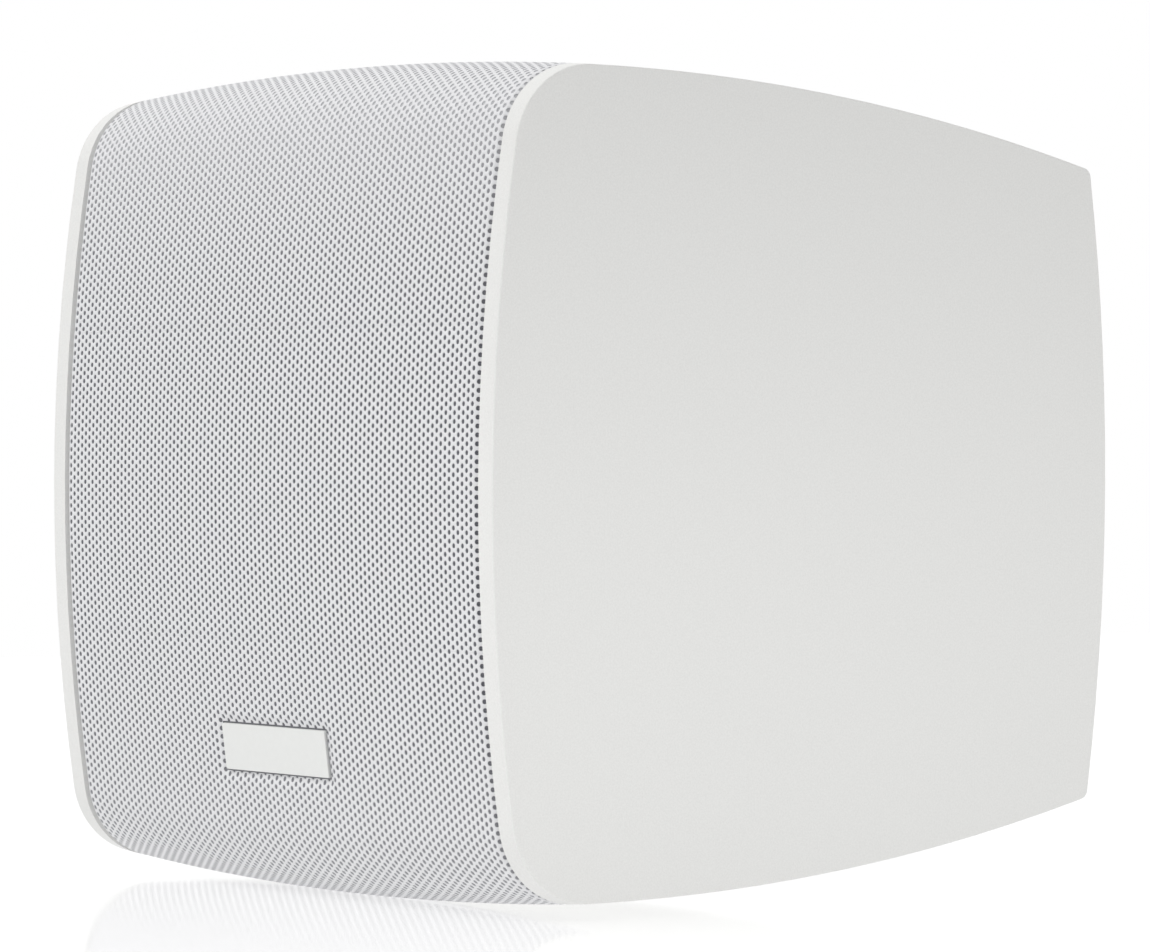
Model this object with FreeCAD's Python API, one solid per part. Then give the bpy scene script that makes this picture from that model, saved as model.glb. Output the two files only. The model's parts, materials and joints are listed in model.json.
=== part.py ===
"""Two-way wall speaker: moulded cabinet, wrapped perforated grille, two drivers, crossover and terminals.

Millimetres. The front looks along -Y, +X is to the right of someone facing the front, +Z is up.
Pieces are drawn in the cabinet frame: Y is the depth behind the crest of the front, Z is the
height above the middle of the cabinet. They are moved to the mount frame when they are written.
"""
import FreeCAD, Part
import math
import os

V = FreeCAD.Vector

# Cabinet outline, seen from the side
WIDTH = 240.0
DEPTH = 226.0
SIDE_HEIGHT = 237.2
CROWN = 4.8
PEAK_DEPTH = 32.0
TOP_BOW_R = 740.0
FRONT_BOW_R = 615.0
BACK_BOW_R = 660.0
FRONT_CORNER_R = 26.0
BACK_CORNER_R = 3.0
INNER_CORNER_R = 1.0
EDGE_R = 0.5

# Cabinet moulding
WALL = 4.5
RIM = 7.0
FRONT_WALL = 7.0
LEDGE_T = 5.0
LEDGE_W = 9.4
POCKET_CORNER_R = 6.0

# Grille sheet, its cloth and its badge
SHEET = 1.0
SHEET_BEND_R = 1.6
GRILLE_RETURN = 40.0
GRILLE_FLANGE = 8.0
HOLE_PITCH = 22.5
HOLE_R = 7.0
HOLE_MARGIN = 14.0
CLOTH = 0.5
BADGE_W = 56.0
BADGE_H = 14.0
BADGE_PROUD = 0.2
BADGE_RISE = 38.6
BADGE_LIP = 2.0
BADGE_LIP_T = 0.8
BADGE_EDGE = 0.5

# Clearances
SLIDE_GAP = 0.3
CLOTH_GAP = 0.1
FIT_GAP = 0.1
THREAD_GAP = 0.05

# Baffle and its fixings
BAFFLE_SETBACK = 18.0
BAFFLE_T = 10.0
SEAL_T = 1.0
BAFFLE_SCREW_X = 60.0
BAFFLE_SCREW_Z = 60.0

# Screws: shank radius, head radius, head height
SCREW_R = 1.6
SCREW_HEAD_R = 3.2
SCREW_HEAD_H = 2.0
SCREW_TIP = 0.5

# Woofer
WOOFER_MARGIN = 6.1
WOOFER_R = 69.0
WOOFER_FLANGE_T = 4.0
WOOFER_LIP_R = 62.0
WOOFER_THROAT_R = 55.5
WOOFER_SCREW_R = 65.5
WOOFER_SCREW_DEG = 45.0
WOOFER_HOLE_R = 60.0
SURROUND_T = 1.0
ROLL_R = 4.0
CONE_LIP = 3.0
CONE_T = 0.8
CONE_DEPTH = 21.0
CONE_SWELL = 4.0
DUST_CAP_R = 19.0
DUST_CAP_RISE = 6.5
DUST_CAP_T = 0.6
COIL_R = 12.7
FORMER_T = 0.3
WINDING_T = 0.6
WINDING_L = 9.0
POLE_GAP = 0.4
PLATE_GAP = 0.5
SPIDER_R = 35.0
SPIDER_LIP = 4.5
SPIDER_T = 0.6
SPIDER_WAVES = 5
SPIDER_RISE = 1.3
BASKET_WALL = 2.5
BASKET_RING_R = 42.0
BASKET_RING_T = 3.0
BASKET_RING_DEPTH = 26.0
BASKET_CUP_R = 37.0
BASKET_CUP_DEPTH = 8.0
BASKET_ARMS = 4
BASKET_ARM_W = 16.0
TOP_PLATE_R = 38.0
TOP_PLATE_T = 5.0
MAGNET_R = 42.0
MAGNET_BORE_R = 17.0
MAGNET_T = 15.0
YOKE_R = 38.0
YOKE_T = 5.0
TAG_W = 16.0
TAG_L = 10.0
TAG_T = 1.6
TAG_TAB_W = 4.8
TAG_TAB_T = 0.8
TAG_TAB_L = 9.0
TAG_TAB_SPACING = 9.0

# Tweeter
DRIVER_SPACING = 5.0
TWEETER_R = 33.0
TWEETER_PLATE_T = 4.0
TWEETER_MOUTH_R = 24.0
TWEETER_THROAT_R = 16.8
TWEETER_SCREW_R = 29.3
TWEETER_SCREWS = 3
TWEETER_SCREW_DEG = 90.0
TWEETER_SPACER_R = 21.5
TWEETER_MAGNET_R = 25.0
TWEETER_MAGNET_BORE_R = 14.5
TWEETER_MAGNET_T = 8.0
TWEETER_TOP_T = 3.0
TWEETER_YOKE_T = 3.0
DOME_R = 12.4
DOME_RISE = 5.6
DOME_T = 0.4
DOME_ROLL_R = 1.7
SUSPENSION_T = 0.5
SUSPENSION_LIP = 4.0
TWEETER_COIL_T = 0.5
TWEETER_COIL_L = 5.5
TWEETER_POLE_GAP = 0.4
TWEETER_TOP_GAP = 0.5

# Rear mount pad with threaded inserts
MOUNT_HEIGHT = 22.0
MOUNT_SPACING_X = 70.0
MOUNT_SPACING_Z = 40.0
PAD_MARGIN = 14.0
PAD_T = 3.5
PAD_CORNER_R = 6.0
INSERT_R = 4.5
INSERT_BORE_R = 2.5
INSERT_L = 14.0
BOSS_WALL = 3.5
BOSS_END = 4.0

# Terminal cup and binding posts
CUP_HEIGHT = -50.0
CUP_W = 60.0
CUP_H = 40.0
CUP_FLANGE = 12.0
CUP_FLANGE_T = 3.0
CUP_WALL = 2.0
CUP_INNER_DEPTH = 17.0
CUP_CORNER_R = 5.0
CUP_SINK = 9.0
CUP_SCREW_INSET = 5.5
POST_SPACING = 26.0
POST_COLLAR_R = 6.5
POST_COLLAR_T = 4.0
STUD_R = 2.0
STUD_TAIL = 9.0
NUT_R = 4.0
NUT_T = 3.0
KNOB_R = 6.0
KNOB_L = 11.0
KNOB_END = 2.5
KNOB_FLUTES = 12
KNOB_FLUTE_R = 0.7

# Crossover board on the left cheek
BOARD_L = 80.0
BOARD_H = 60.0
BOARD_T = 1.6
BOARD_DEPTH = 140.0
BOARD_HEIGHT = -8.0
BOARD_STANDOFF = 6.0
BOARD_POST_R = 4.0
BOARD_HOLE_INSET = 5.0
COIL_BIG_R = 17.0
COIL_BIG_H = 16.0
COIL_SMALL_R = 12.0
COIL_SMALL_H = 12.0
COIL_BORE_R = 6.0
CAPACITOR_R = 6.5
CAPACITOR_L = 26.0
RESISTOR_L = 24.0
RESISTOR_W = 9.0
PART_SPACING = 3.0

# Felt pad on the right cheek
FELT_T = 12.0
FELT_L = 130.0
FELT_H = 140.0
FELT_DEPTH = 130.0
FELT_CORNER_R = 12.0

# Leads inside the cabinet: radius, share of a run that a bend takes up, length of the straight ends
LEAD_R = 1.4
LEAD_BEND_SHARE = 0.45
LEAD_END = 18.0
LEAD_SPACING = 14.0

# Places in the open inside that each pair of leads passes on its way to the board
INPUT_LEAD_SPOTS = [(-50.0, 167.0, -40.0), (-32.0, 152.0, -20.0)]
WOOFER_LEAD_SPOTS = [(-64.0, 92.0, -36.0), (-62.0, 99.0, -32.0)]
TWEETER_LEAD_SPOTS = [(-45.0, 88.0, 46.0), (-42.0, 98.0, 36.0)]

# Places that follow from the sizes above
HALF_W = WIDTH / 2
HALF_H = SIDE_HEIGHT / 2
FRONT_HALF_W = HALF_W - RIM
POCKET_HALF_H = HALF_H - FRONT_WALL
BAFFLE_BACK = BAFFLE_SETBACK + BAFFLE_T
LEDGE_FRONT = BAFFLE_BACK + SEAL_T
LEDGE_BACK = LEDGE_FRONT + LEDGE_T
WINDOW_HALF_W = FRONT_HALF_W - LEDGE_W
WINDOW_HALF_H = POCKET_HALF_H - LEDGE_W
BADGE_HEIGHT = -HALF_H + BADGE_RISE
WOOFER_HEIGHT = -POCKET_HALF_H + WOOFER_MARGIN + WOOFER_R
TWEETER_HEIGHT = WOOFER_HEIGHT + WOOFER_R + DRIVER_SPACING + TWEETER_R
REBATE = SHEET + CLOTH_GAP + CLOTH + SLIDE_GAP
BIG = 2 * (WIDTH + DEPTH + SIDE_HEIGHT)


def span_box(x, y, z):
    """Box between the two ends given for each axis."""
    return Part.makeBox(x[1] - x[0], y[1] - y[0], z[1] - z[0], V(x[0], y[0], z[0]))


def rounded_block(half_w, half_h, y, corner_r, height=0.0):
    """Block along Y with a rounded rectangular section, centred on X = 0 and on the given height."""
    block = span_box((-half_w, half_w), y, (height - half_h, height + half_h))
    along = [e for e in block.Edges if abs(e.tangentAt(e.FirstParameter).y) > 0.5]
    return block.makeFillet(corner_r, along)


def rod(radius, y, x=0.0, z=0.0):
    """Solid round bar along Y between two depths."""
    return Part.makeCylinder(radius, y[1] - y[0], V(x, y[0], z), V(0, 1, 0))


def tube(inner_r, outer_r, y, x=0.0, z=0.0):
    """Round tube or washer along Y between two depths."""
    return rod(outer_r, y, x, z).cut(rod(inner_r, y, x, z))


def turned(edges, height):
    """Solid of revolution about a Y axis at the given height, from edges in the radius and depth plane."""
    face = Part.Face(Part.Wire(edges))
    solid = face.revolve(V(0, 0, 0), V(0, 1, 0), 360)
    solid.translate(V(0, 0, height))
    return solid


def runs(points):
    """Straight edges through points given as radius and depth."""
    spots = [V(r, y, 0) for r, y in points]
    return [Part.LineSegment(a, b).toShape() for a, b in zip(spots, spots[1:])]


def bend(start, middle, end):
    """Arc through three points given as radius and depth."""
    return Part.Arc(*[V(r, y, 0) for r, y in (start, middle, end)]).toShape()


def turned_outline(points, height):
    """Solid of revolution from a closed outline of straight runs."""
    return turned(runs(points + points[:1]), height)


def around(shape, count, first_deg, height):
    """Copies of a shape turned about the Y axis at the given height."""
    copies = []
    for i in range(count):
        copy = shape.copy()
        copy.rotate(V(0, 0, height), V(0, 1, 0), first_deg + i * 360.0 / count)
        copies.append(copy)
    return copies


def screw(x, z, head_y, length):
    """Pan-head screw driven along +Y, its head standing on the depth given."""
    head = turned_outline([(0, head_y - SCREW_HEAD_H), (SCREW_HEAD_R - SCREW_TIP, head_y - SCREW_HEAD_H),
                           (SCREW_HEAD_R, head_y - SCREW_HEAD_H + SCREW_TIP), (SCREW_HEAD_R, head_y),
                           (SCREW_R, head_y), (SCREW_R, head_y + length - SCREW_R),
                           (SCREW_TIP, head_y + length), (0, head_y + length)], 0)
    head.translate(V(x, 0, z))
    return head


def screw_hole(x, z, y):
    """Round hole for a screw's shank between two depths."""
    return rod(SCREW_R + FIT_GAP, y, x, z)


# Outline of the cabinet


CROWN_R = (HALF_W ** 2 + CROWN ** 2) / (2 * CROWN)


def crown_rise(x):
    """How far the top stands above the side outline at a station across the width."""
    return CROWN - CROWN_R + math.sqrt(CROWN_R ** 2 - x ** 2)


def nose_centre(rise):
    """Depth and height of the axis of the front corner, tangent inside the top bow and the front bow."""
    top_y, top_z = PEAK_DEPTH, HALF_H + rise - TOP_BOW_R
    reach_front = FRONT_BOW_R - FRONT_CORNER_R
    reach_top = TOP_BOW_R - FRONT_CORNER_R
    dy, dz = top_y - FRONT_BOW_R, top_z
    span = math.hypot(dy, dz)
    along = (reach_front ** 2 - reach_top ** 2 + span ** 2) / (2 * span)
    off = math.sqrt(reach_front ** 2 - along ** 2)
    return FRONT_BOW_R + (dy * along + dz * off) / span, (dz * along - dy * off) / span


def bow(radius, y):
    """Round bar across the width, for a front or a back that is bowed in side view."""
    return Part.makeCylinder(radius, 2 * BIG, V(-BIG, y, 0), V(1, 0, 0))


def crowned_top(inset, side):
    """Ring whose outside is the top or the bottom: bowed from front to back and crowned across."""
    ring_r = CROWN_R - TOP_BOW_R
    axis_z = HALF_H + CROWN - CROWN_R
    return Part.makeTorus(ring_r, TOP_BOW_R - inset, V(0, PEAK_DEPTH, side * axis_z), V(0, 1, 0))


def cross_edges(solid, half_w, near_front):
    """The top and bottom edges that run across the width, at the front or at the back."""
    edges = [e for e in solid.Edges if e.BoundBox.XLength > half_w]
    return [e for e in edges if (e.CenterOfMass.y < DEPTH / 2) == near_front]


def pillow(inset, half_w):
    """Solid of the whole crowned outline, moved inwards by the inset, between stations across the width."""
    solid = span_box((-half_w, half_w), (0, DEPTH), (-HALF_H - CROWN, HALF_H + CROWN))
    for tool in (bow(FRONT_BOW_R - inset, FRONT_BOW_R), bow(BACK_BOW_R - inset, DEPTH - BACK_BOW_R),
                 crowned_top(inset, 1), crowned_top(inset, -1)):
        solid = solid.common(tool)
    solid = solid.makeFillet(FRONT_CORNER_R - inset, cross_edges(solid, half_w, True))
    back_r = max(BACK_CORNER_R - inset, INNER_CORNER_R)
    return solid.makeFillet(back_r, cross_edges(solid, half_w, False))


def end_edges(solid, half_w):
    """Edges that run round the two flat ends of a pillow."""
    return [e for e in solid.Edges if abs(abs(e.CenterOfMass.x) - half_w) < INNER_CORNER_R / 10]


def girth_spot(x, s):
    """Point and outward normal on the front, at a length measured along the outline from the crest."""
    nose_y, nose_z = nose_centre(crown_rise(x))
    turn = math.asin(nose_z / (FRONT_BOW_R - FRONT_CORNER_R))
    flat = FRONT_BOW_R * turn
    side = math.copysign(1.0, s)
    if abs(s) <= flat:
        angle = abs(s) / FRONT_BOW_R
        y, z = FRONT_BOW_R * (1 - math.cos(angle)), FRONT_BOW_R * math.sin(angle)
    else:
        angle = turn + (abs(s) - flat) / FRONT_CORNER_R
        y, z = nose_y - FRONT_CORNER_R * math.cos(angle), nose_z + FRONT_CORNER_R * math.sin(angle)
    return V(x, y, side * z), V(0, -math.cos(angle), side * math.sin(angle))


def girth_limit():
    """Length along the outline from the crest to the end of the corner arc, at the cheeks."""
    nose_y, nose_z = nose_centre(0.0)
    turn = math.asin(nose_z / (FRONT_BOW_R - FRONT_CORNER_R))
    return FRONT_BOW_R * turn + FRONT_CORNER_R * (math.pi / 2 - turn)


# Cabinet


def insert_spots():
    """Centres of the threaded inserts across the rear pad."""
    return [(sx * MOUNT_SPACING_X / 2, MOUNT_HEIGHT + sz * MOUNT_SPACING_Z / 2)
            for sx in (-1, 1) for sz in (-1, 1)]


def cup_screw_spots():
    """Centres of the terminal cup's screws."""
    half_w = CUP_W / 2 + CUP_FLANGE - CUP_SCREW_INSET
    half_h = CUP_H / 2 + CUP_FLANGE - CUP_SCREW_INSET
    return [(sx * half_w, CUP_HEIGHT + sz * half_h) for sx in (-1, 1) for sz in (-1, 1)]


def baffle_screw_spots():
    """Centres of the baffle's screws, on the middle of the ledge."""
    side = FRONT_HALF_W - LEDGE_W / 2
    top = POCKET_HALF_H - LEDGE_W / 2
    spots = [(sx * side, sz * BAFFLE_SCREW_Z) for sx in (-1, 1) for sz in (-1, 1)]
    return spots + [(sx * BAFFLE_SCREW_X, sz * top) for sx in (-1, 1) for sz in (-1, 1)]


def board_post_spots():
    """Depth and height of the crossover board's fixing posts."""
    return [(BOARD_DEPTH + sy * (BOARD_L / 2 - BOARD_HOLE_INSET),
             BOARD_HEIGHT + sz * (BOARD_H / 2 - BOARD_HOLE_INSET)) for sy in (-1, 1) for sz in (-1, 1)]


def side_bar(radius, x, y, z):
    """Solid round bar along X between two stations."""
    return Part.makeCylinder(radius, x[1] - x[0], V(x[0], y, z), V(1, 0, 0))


CUP_SEAT = DEPTH - CUP_SINK
CUP_BLOCK_FRONT = CUP_SEAT - WALL
CUP_OUTER = CUP_SEAT + SEAL_T + CUP_FLANGE_T
CUP_FLOOR = CUP_OUTER - CUP_INNER_DEPTH
BOARD_FACE = -(HALF_W - WALL) + BOARD_STANDOFF


def cabinet_shell():
    """Hollow moulding: both cheeks, top, bottom and back in one, open at the front between the cheeks."""
    body = pillow(0.0, HALF_W)
    body = body.makeFillet(EDGE_R, end_edges(body, HALF_W))
    hollow = pillow(WALL, HALF_W - WALL).common(span_box((-BIG, BIG), (LEDGE_BACK, BIG), (-BIG, BIG)))
    body = body.cut(hollow)
    body = body.cut(rounded_block(FRONT_HALF_W, POCKET_HALF_H, (-DEPTH, LEDGE_FRONT), POCKET_CORNER_R))
    body = body.cut(rounded_block(WINDOW_HALF_W, WINDOW_HALF_H, (0, DEPTH / 2), POCKET_CORNER_R))
    seat = span_box((-FRONT_HALF_W, FRONT_HALF_W), (-DEPTH, GRILLE_RETURN + SLIDE_GAP), (-BIG, BIG))
    body = body.cut(seat.cut(pillow(REBATE, WIDTH)))

    pad = rounded_block(MOUNT_SPACING_X / 2 + PAD_MARGIN, MOUNT_SPACING_Z / 2 + PAD_MARGIN,
                        (DEPTH - PAD_T, DEPTH), PAD_CORNER_R, MOUNT_HEIGHT)
    boss_y = (DEPTH - INSERT_L - BOSS_END, DEPTH - WALL / 2)
    added = [pad] + [rod(INSERT_R + BOSS_WALL, boss_y, x, z) for x, z in insert_spots()]
    added.append(rounded_block(CUP_W / 2 + CUP_FLANGE + WALL, CUP_H / 2 + CUP_FLANGE + WALL,
                               (CUP_BLOCK_FRONT, CUP_SEAT + SEAL_T), CUP_CORNER_R, CUP_HEIGHT))
    cheek = (-HALF_W + WALL / 2, BOARD_FACE)
    added += [side_bar(BOARD_POST_R, cheek, y, z) for y, z in board_post_spots()]
    body = body.fuse(added)

    cuts = [rod(INSERT_R, (DEPTH - INSERT_L, BIG), x, z) for x, z in insert_spots()]
    cuts.append(rounded_block(CUP_W / 2 + CUP_FLANGE + SLIDE_GAP, CUP_H / 2 + CUP_FLANGE + SLIDE_GAP,
                              (CUP_SEAT, BIG), CUP_CORNER_R, CUP_HEIGHT))
    cuts.append(rounded_block(CUP_W / 2 + CUP_WALL + SLIDE_GAP, CUP_H / 2 + CUP_WALL + SLIDE_GAP,
                              (DEPTH / 2, BIG), CUP_CORNER_R, CUP_HEIGHT))
    cuts += [screw_hole(x, z, (CUP_BLOCK_FRONT, BIG)) for x, z in cup_screw_spots()]
    cuts += [screw_hole(x, z, (LEDGE_FRONT, LEDGE_BACK)) for x, z in baffle_screw_spots()]
    post = (-HALF_W + WALL, BOARD_FACE)
    cuts += [side_bar(SCREW_R + FIT_GAP, post, y, z) for y, z in board_post_spots()]
    return body.cut(cuts).removeSplitter()


def mounting_inserts():
    """Brass threaded inserts, pressed into the bosses of the rear pad."""
    return [tube(INSERT_BORE_R, INSERT_R, (DEPTH - INSERT_L, DEPTH), x, z) for x, z in insert_spots()]


# Grille


def badge_place(shape):
    """Move a shape drawn at the origin, its front towards -Y, to the badge's place on the sheet."""
    turn = math.degrees(math.asin(BADGE_HEIGHT / FRONT_BOW_R))
    spot = girth_spot(0.0, math.radians(turn) * FRONT_BOW_R)[0]
    shape.rotate(V(0, 0, 0), V(1, 0, 0), -turn)
    shape.translate(spot)
    return shape


def badge_window(grow, y):
    """Rectangular block through the sheet at the badge, larger than the badge by the amount given."""
    half_w, half_h = BADGE_W / 2 + grow, BADGE_H / 2 + grow
    return badge_place(span_box((-half_w, half_w), y, (-half_h, half_h)))


def hole_punches():
    """Round punches on the staggered grid, each square to the sheet, clear of the badge."""
    column_step = HOLE_PITCH * math.sqrt(3) / 2
    columns = int((FRONT_HALF_W - HOLE_MARGIN) / column_step)
    reach = girth_limit()
    badge_x = BADGE_W / 2 + BADGE_LIP + HOLE_R
    badge_z = BADGE_H / 2 + BADGE_LIP + HOLE_R
    punches = []
    for column in range(-columns, columns + 1):
        x = column * column_step
        shift = HOLE_PITCH / 2 * (column % 2)
        rows = int(reach / HOLE_PITCH) + 1
        for row in range(-rows, rows + 1):
            s = row * HOLE_PITCH + shift
            if abs(s) > reach:
                continue
            if abs(x) < badge_x and abs(s - BADGE_HEIGHT) < badge_z:
                continue
            spot, normal = girth_spot(x, s)
            start = spot + normal * (2 * SHEET)
            punches.append(Part.makeCylinder(HOLE_R, 4 * SHEET, start, normal * -1))
    return punches


def grille():
    """Perforated sheet bent over the top and bottom of the front, its side edges folded inwards."""
    half_w = FRONT_HALF_W - SLIDE_GAP
    sheet = pillow(0.0, half_w)
    sheet = sheet.makeFillet(SHEET_BEND_R, end_edges(sheet, half_w))
    sheet = sheet.cut(pillow(SHEET, half_w - SHEET))
    sheet = sheet.cut(span_box((-BIG, BIG), (GRILLE_RETURN, BIG), (-BIG, BIG)))
    sheet = sheet.cut(pillow(GRILLE_FLANGE, WIDTH))
    flange_end = POCKET_HALF_H - POCKET_CORNER_R - SLIDE_GAP
    above = span_box((-BIG, BIG), (-BIG, BIG), (flange_end, BIG))
    below = span_box((-BIG, BIG), (-BIG, BIG), (-BIG, -flange_end))
    behind = span_box((-BIG, BIG), (BAFFLE_SETBACK - SEAL_T, BIG), (-BIG, BIG))
    inside = pillow(SHEET_BEND_R, WIDTH)
    sheet = sheet.cut([zone.common(inside) for zone in (above, below, behind)])
    return sheet.cut(hole_punches() + [badge_window(BADGE_EDGE, (-GRILLE_FLANGE, GRILLE_FLANGE))])


def grille_cloth():
    """Acoustic cloth stretched over the inside of the sheet, open behind the badge."""
    half_w = FRONT_HALF_W - SLIDE_GAP - SHEET - SLIDE_GAP
    cloth = pillow(SHEET + CLOTH_GAP, half_w).cut(pillow(SHEET + CLOTH_GAP + CLOTH, WIDTH))
    cloth = cloth.cut(span_box((-BIG, BIG), (GRILLE_RETURN - SHEET, BIG), (-BIG, BIG)))
    return cloth.cut(badge_window(BADGE_LIP + BADGE_EDGE, (-GRILLE_FLANGE, GRILLE_FLANGE)))


def badge_plate():
    """Bare plate that stands through the sheet, with a lip that holds it from behind."""
    plate = span_box((-BADGE_W / 2, BADGE_W / 2), (-BADGE_PROUD, SHEET + FIT_GAP),
                     (-BADGE_H / 2, BADGE_H / 2))
    rim = [e for e in plate.Edges if e.BoundBox.YMax < 0]
    plate = plate.makeChamfer(BADGE_EDGE, rim)
    half_w, half_h = BADGE_W / 2 + BADGE_LIP, BADGE_H / 2 + BADGE_LIP
    lip = span_box((-half_w, half_w), (SHEET + FIT_GAP, SHEET + FIT_GAP + BADGE_LIP_T), (-half_h, half_h))
    return badge_place(plate.fuse(lip).removeSplitter())


# Baffle


def driver_screw_spots(height, radius, count, first_deg):
    """Centres of a driver's screws on their circle."""
    turns = [math.radians(first_deg + i * 360.0 / count) for i in range(count)]
    return [(radius * math.cos(a), height + radius * math.sin(a)) for a in turns]


def woofer_screw_spots():
    """Centres of the woofer's screws."""
    return driver_screw_spots(WOOFER_HEIGHT, WOOFER_SCREW_R, BASKET_ARMS, WOOFER_SCREW_DEG)


def tweeter_screw_spots():
    """Centres of the tweeter's screws."""
    return driver_screw_spots(TWEETER_HEIGHT, TWEETER_SCREW_R, TWEETER_SCREWS, TWEETER_SCREW_DEG)


WOOFER_SEAT = BAFFLE_SETBACK + WOOFER_FLANGE_T + SEAL_T
TWEETER_SEAT = BAFFLE_SETBACK + TWEETER_PLATE_T
BAFFLE_SCREW_L = BAFFLE_T + SEAL_T + LEDGE_T - SCREW_TIP
DRIVER_SCREW_L = BAFFLE_T - SCREW_TIP


def front_baffle():
    """Board that carries both drivers, with a rebate for each driver's flange."""
    board = rounded_block(FRONT_HALF_W - SLIDE_GAP, POCKET_HALF_H - SLIDE_GAP,
                          (BAFFLE_SETBACK, BAFFLE_BACK), POCKET_CORNER_R)
    through = (0, DEPTH / 2)
    cuts = [rod(WOOFER_R + SLIDE_GAP, (0, WOOFER_SEAT), 0, WOOFER_HEIGHT),
            rod(WOOFER_HOLE_R, through, 0, WOOFER_HEIGHT),
            rod(TWEETER_R + SLIDE_GAP, (0, TWEETER_SEAT), 0, TWEETER_HEIGHT),
            rod(TWEETER_MAGNET_R + SLIDE_GAP, through, 0, TWEETER_HEIGHT)]
    cuts += [screw_hole(x, z, through) for x, z in baffle_screw_spots()]
    cuts += [screw_hole(x, z, through) for x, z in woofer_screw_spots() + tweeter_screw_spots()]
    return board.cut(cuts)


def baffle_gasket():
    """Foam frame between the baffle and its ledge."""
    seal = (BAFFLE_BACK, LEDGE_FRONT)
    frame = rounded_block(FRONT_HALF_W - SLIDE_GAP, POCKET_HALF_H - SLIDE_GAP, seal, POCKET_CORNER_R)
    frame = frame.cut(rounded_block(WINDOW_HALF_W, WINDOW_HALF_H, (0, DEPTH / 2), POCKET_CORNER_R))
    return frame.cut([screw_hole(x, z, seal) for x, z in baffle_screw_spots()])


def baffle_screws():
    """Screws through the baffle into the ledge."""
    return [screw(x, z, BAFFLE_SETBACK, BAFFLE_SCREW_L) for x, z in baffle_screw_spots()]


# Woofer

FLANGE_BACK = BAFFLE_SETBACK + WOOFER_FLANGE_T
SURROUND_BACK = BAFFLE_SETBACK + SURROUND_T
CONE_R = WOOFER_THROAT_R - 2 * ROLL_R
CONE_NECK = SURROUND_BACK + CONE_DEPTH
FORMER_R = COIL_R + FORMER_T
RING_FRONT = BAFFLE_SETBACK + BASKET_RING_DEPTH
RING_BACK = RING_FRONT + BASKET_RING_T
CUP_BOTTOM = RING_BACK + BASKET_CUP_DEPTH
TOP_PLATE_BACK = CUP_BOTTOM + TOP_PLATE_T
MAGNET_BACK = TOP_PLATE_BACK + MAGNET_T
YOKE_BACK = MAGNET_BACK + YOKE_T
PLATE_BORE_R = FORMER_R + WINDING_T + PLATE_GAP
WINDING_MID = CUP_BOTTOM + TOP_PLATE_T / 2
FORMER_BACK = WINDING_MID + WINDING_L / 2


def woofer_basket():
    """Pressed basket: screwed flange, open arms, spider ring and the cup that the magnet hangs on."""
    arm_r = WOOFER_HOLE_R - SLIDE_GAP
    hub_r = MAGNET_BORE_R
    floor = CUP_BOTTOM - BASKET_WALL
    basket = turned_outline([
        (WOOFER_THROAT_R, SURROUND_BACK), (WOOFER_LIP_R, SURROUND_BACK), (WOOFER_LIP_R, BAFFLE_SETBACK),
        (WOOFER_R, BAFFLE_SETBACK), (WOOFER_R, FLANGE_BACK), (arm_r, FLANGE_BACK),
        (BASKET_RING_R, RING_FRONT), (BASKET_RING_R, RING_BACK), (BASKET_CUP_R, RING_BACK),
        (BASKET_CUP_R, CUP_BOTTOM), (hub_r, CUP_BOTTOM), (hub_r, floor),
        (BASKET_CUP_R - BASKET_WALL, floor), (BASKET_CUP_R - BASKET_WALL, RING_BACK),
        (SPIDER_R - SPIDER_LIP, RING_BACK), (SPIDER_R - SPIDER_LIP, RING_FRONT),
        (BASKET_RING_R - BASKET_WALL, RING_FRONT), (WOOFER_THROAT_R, FLANGE_BACK)], WOOFER_HEIGHT)
    keep_y = (FLANGE_BACK + FIT_GAP, RING_FRONT - FIT_GAP)
    band = tube(SPIDER_R, WOOFER_R, keep_y, 0, WOOFER_HEIGHT)
    arm = span_box((0, WOOFER_R), keep_y,
                   (WOOFER_HEIGHT - BASKET_ARM_W / 2, WOOFER_HEIGHT + BASKET_ARM_W / 2))
    windows = band.cut(around(arm, BASKET_ARMS, WOOFER_SCREW_DEG, WOOFER_HEIGHT))
    holes = [rod(SCREW_R + 2 * FIT_GAP, (0, DEPTH / 2), x, z) for x, z in woofer_screw_spots()]
    return basket.cut([windows] + holes)


def woofer_gasket():
    """Foam ring between the basket's flange and the baffle."""
    ring = tube(WOOFER_HOLE_R, WOOFER_R, (FLANGE_BACK, WOOFER_SEAT), 0, WOOFER_HEIGHT)
    return ring.cut([screw_hole(x, z, (0, DEPTH / 2)) for x, z in woofer_screw_spots()])


def woofer_screws():
    """Screws through the basket's flange into the baffle."""
    return [screw(x, z, BAFFLE_SETBACK, DRIVER_SCREW_L) for x, z in woofer_screw_spots()]


def roll(outer_lip, inner_lip, roll_r, outer_r, back, thick, height):
    """Half-roll suspension ring: a flat lip on each side of a roll that bulges forwards."""
    front = back - thick
    mid = outer_r - roll_r
    inner_r = outer_r - 2 * roll_r
    outside = bend((outer_r, front), (mid, front - roll_r), (inner_r, front))
    hollow_r = roll_r - thick
    inside = bend((mid - hollow_r, back), (mid, back - thick - hollow_r), (mid + hollow_r, back))
    edges = runs([(outer_r + outer_lip, back), (outer_r + outer_lip, front), (outer_r, front)])
    edges.append(outside)
    edges += runs([(inner_r, front), (inner_r - inner_lip, front), (inner_r - inner_lip, back),
                   (mid - hollow_r, back)])
    edges.append(inside)
    edges += runs([(mid + hollow_r, back), (outer_r + outer_lip, back)])
    return turned(edges, height)


def woofer_surround():
    """Rubber half-roll surround, glued to the step of the basket and to the cone's lip."""
    lip = WOOFER_LIP_R - FIT_GAP - WOOFER_THROAT_R
    return roll(lip, CONE_LIP, ROLL_R, WOOFER_THROAT_R, SURROUND_BACK, SURROUND_T, WOOFER_HEIGHT)


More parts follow.
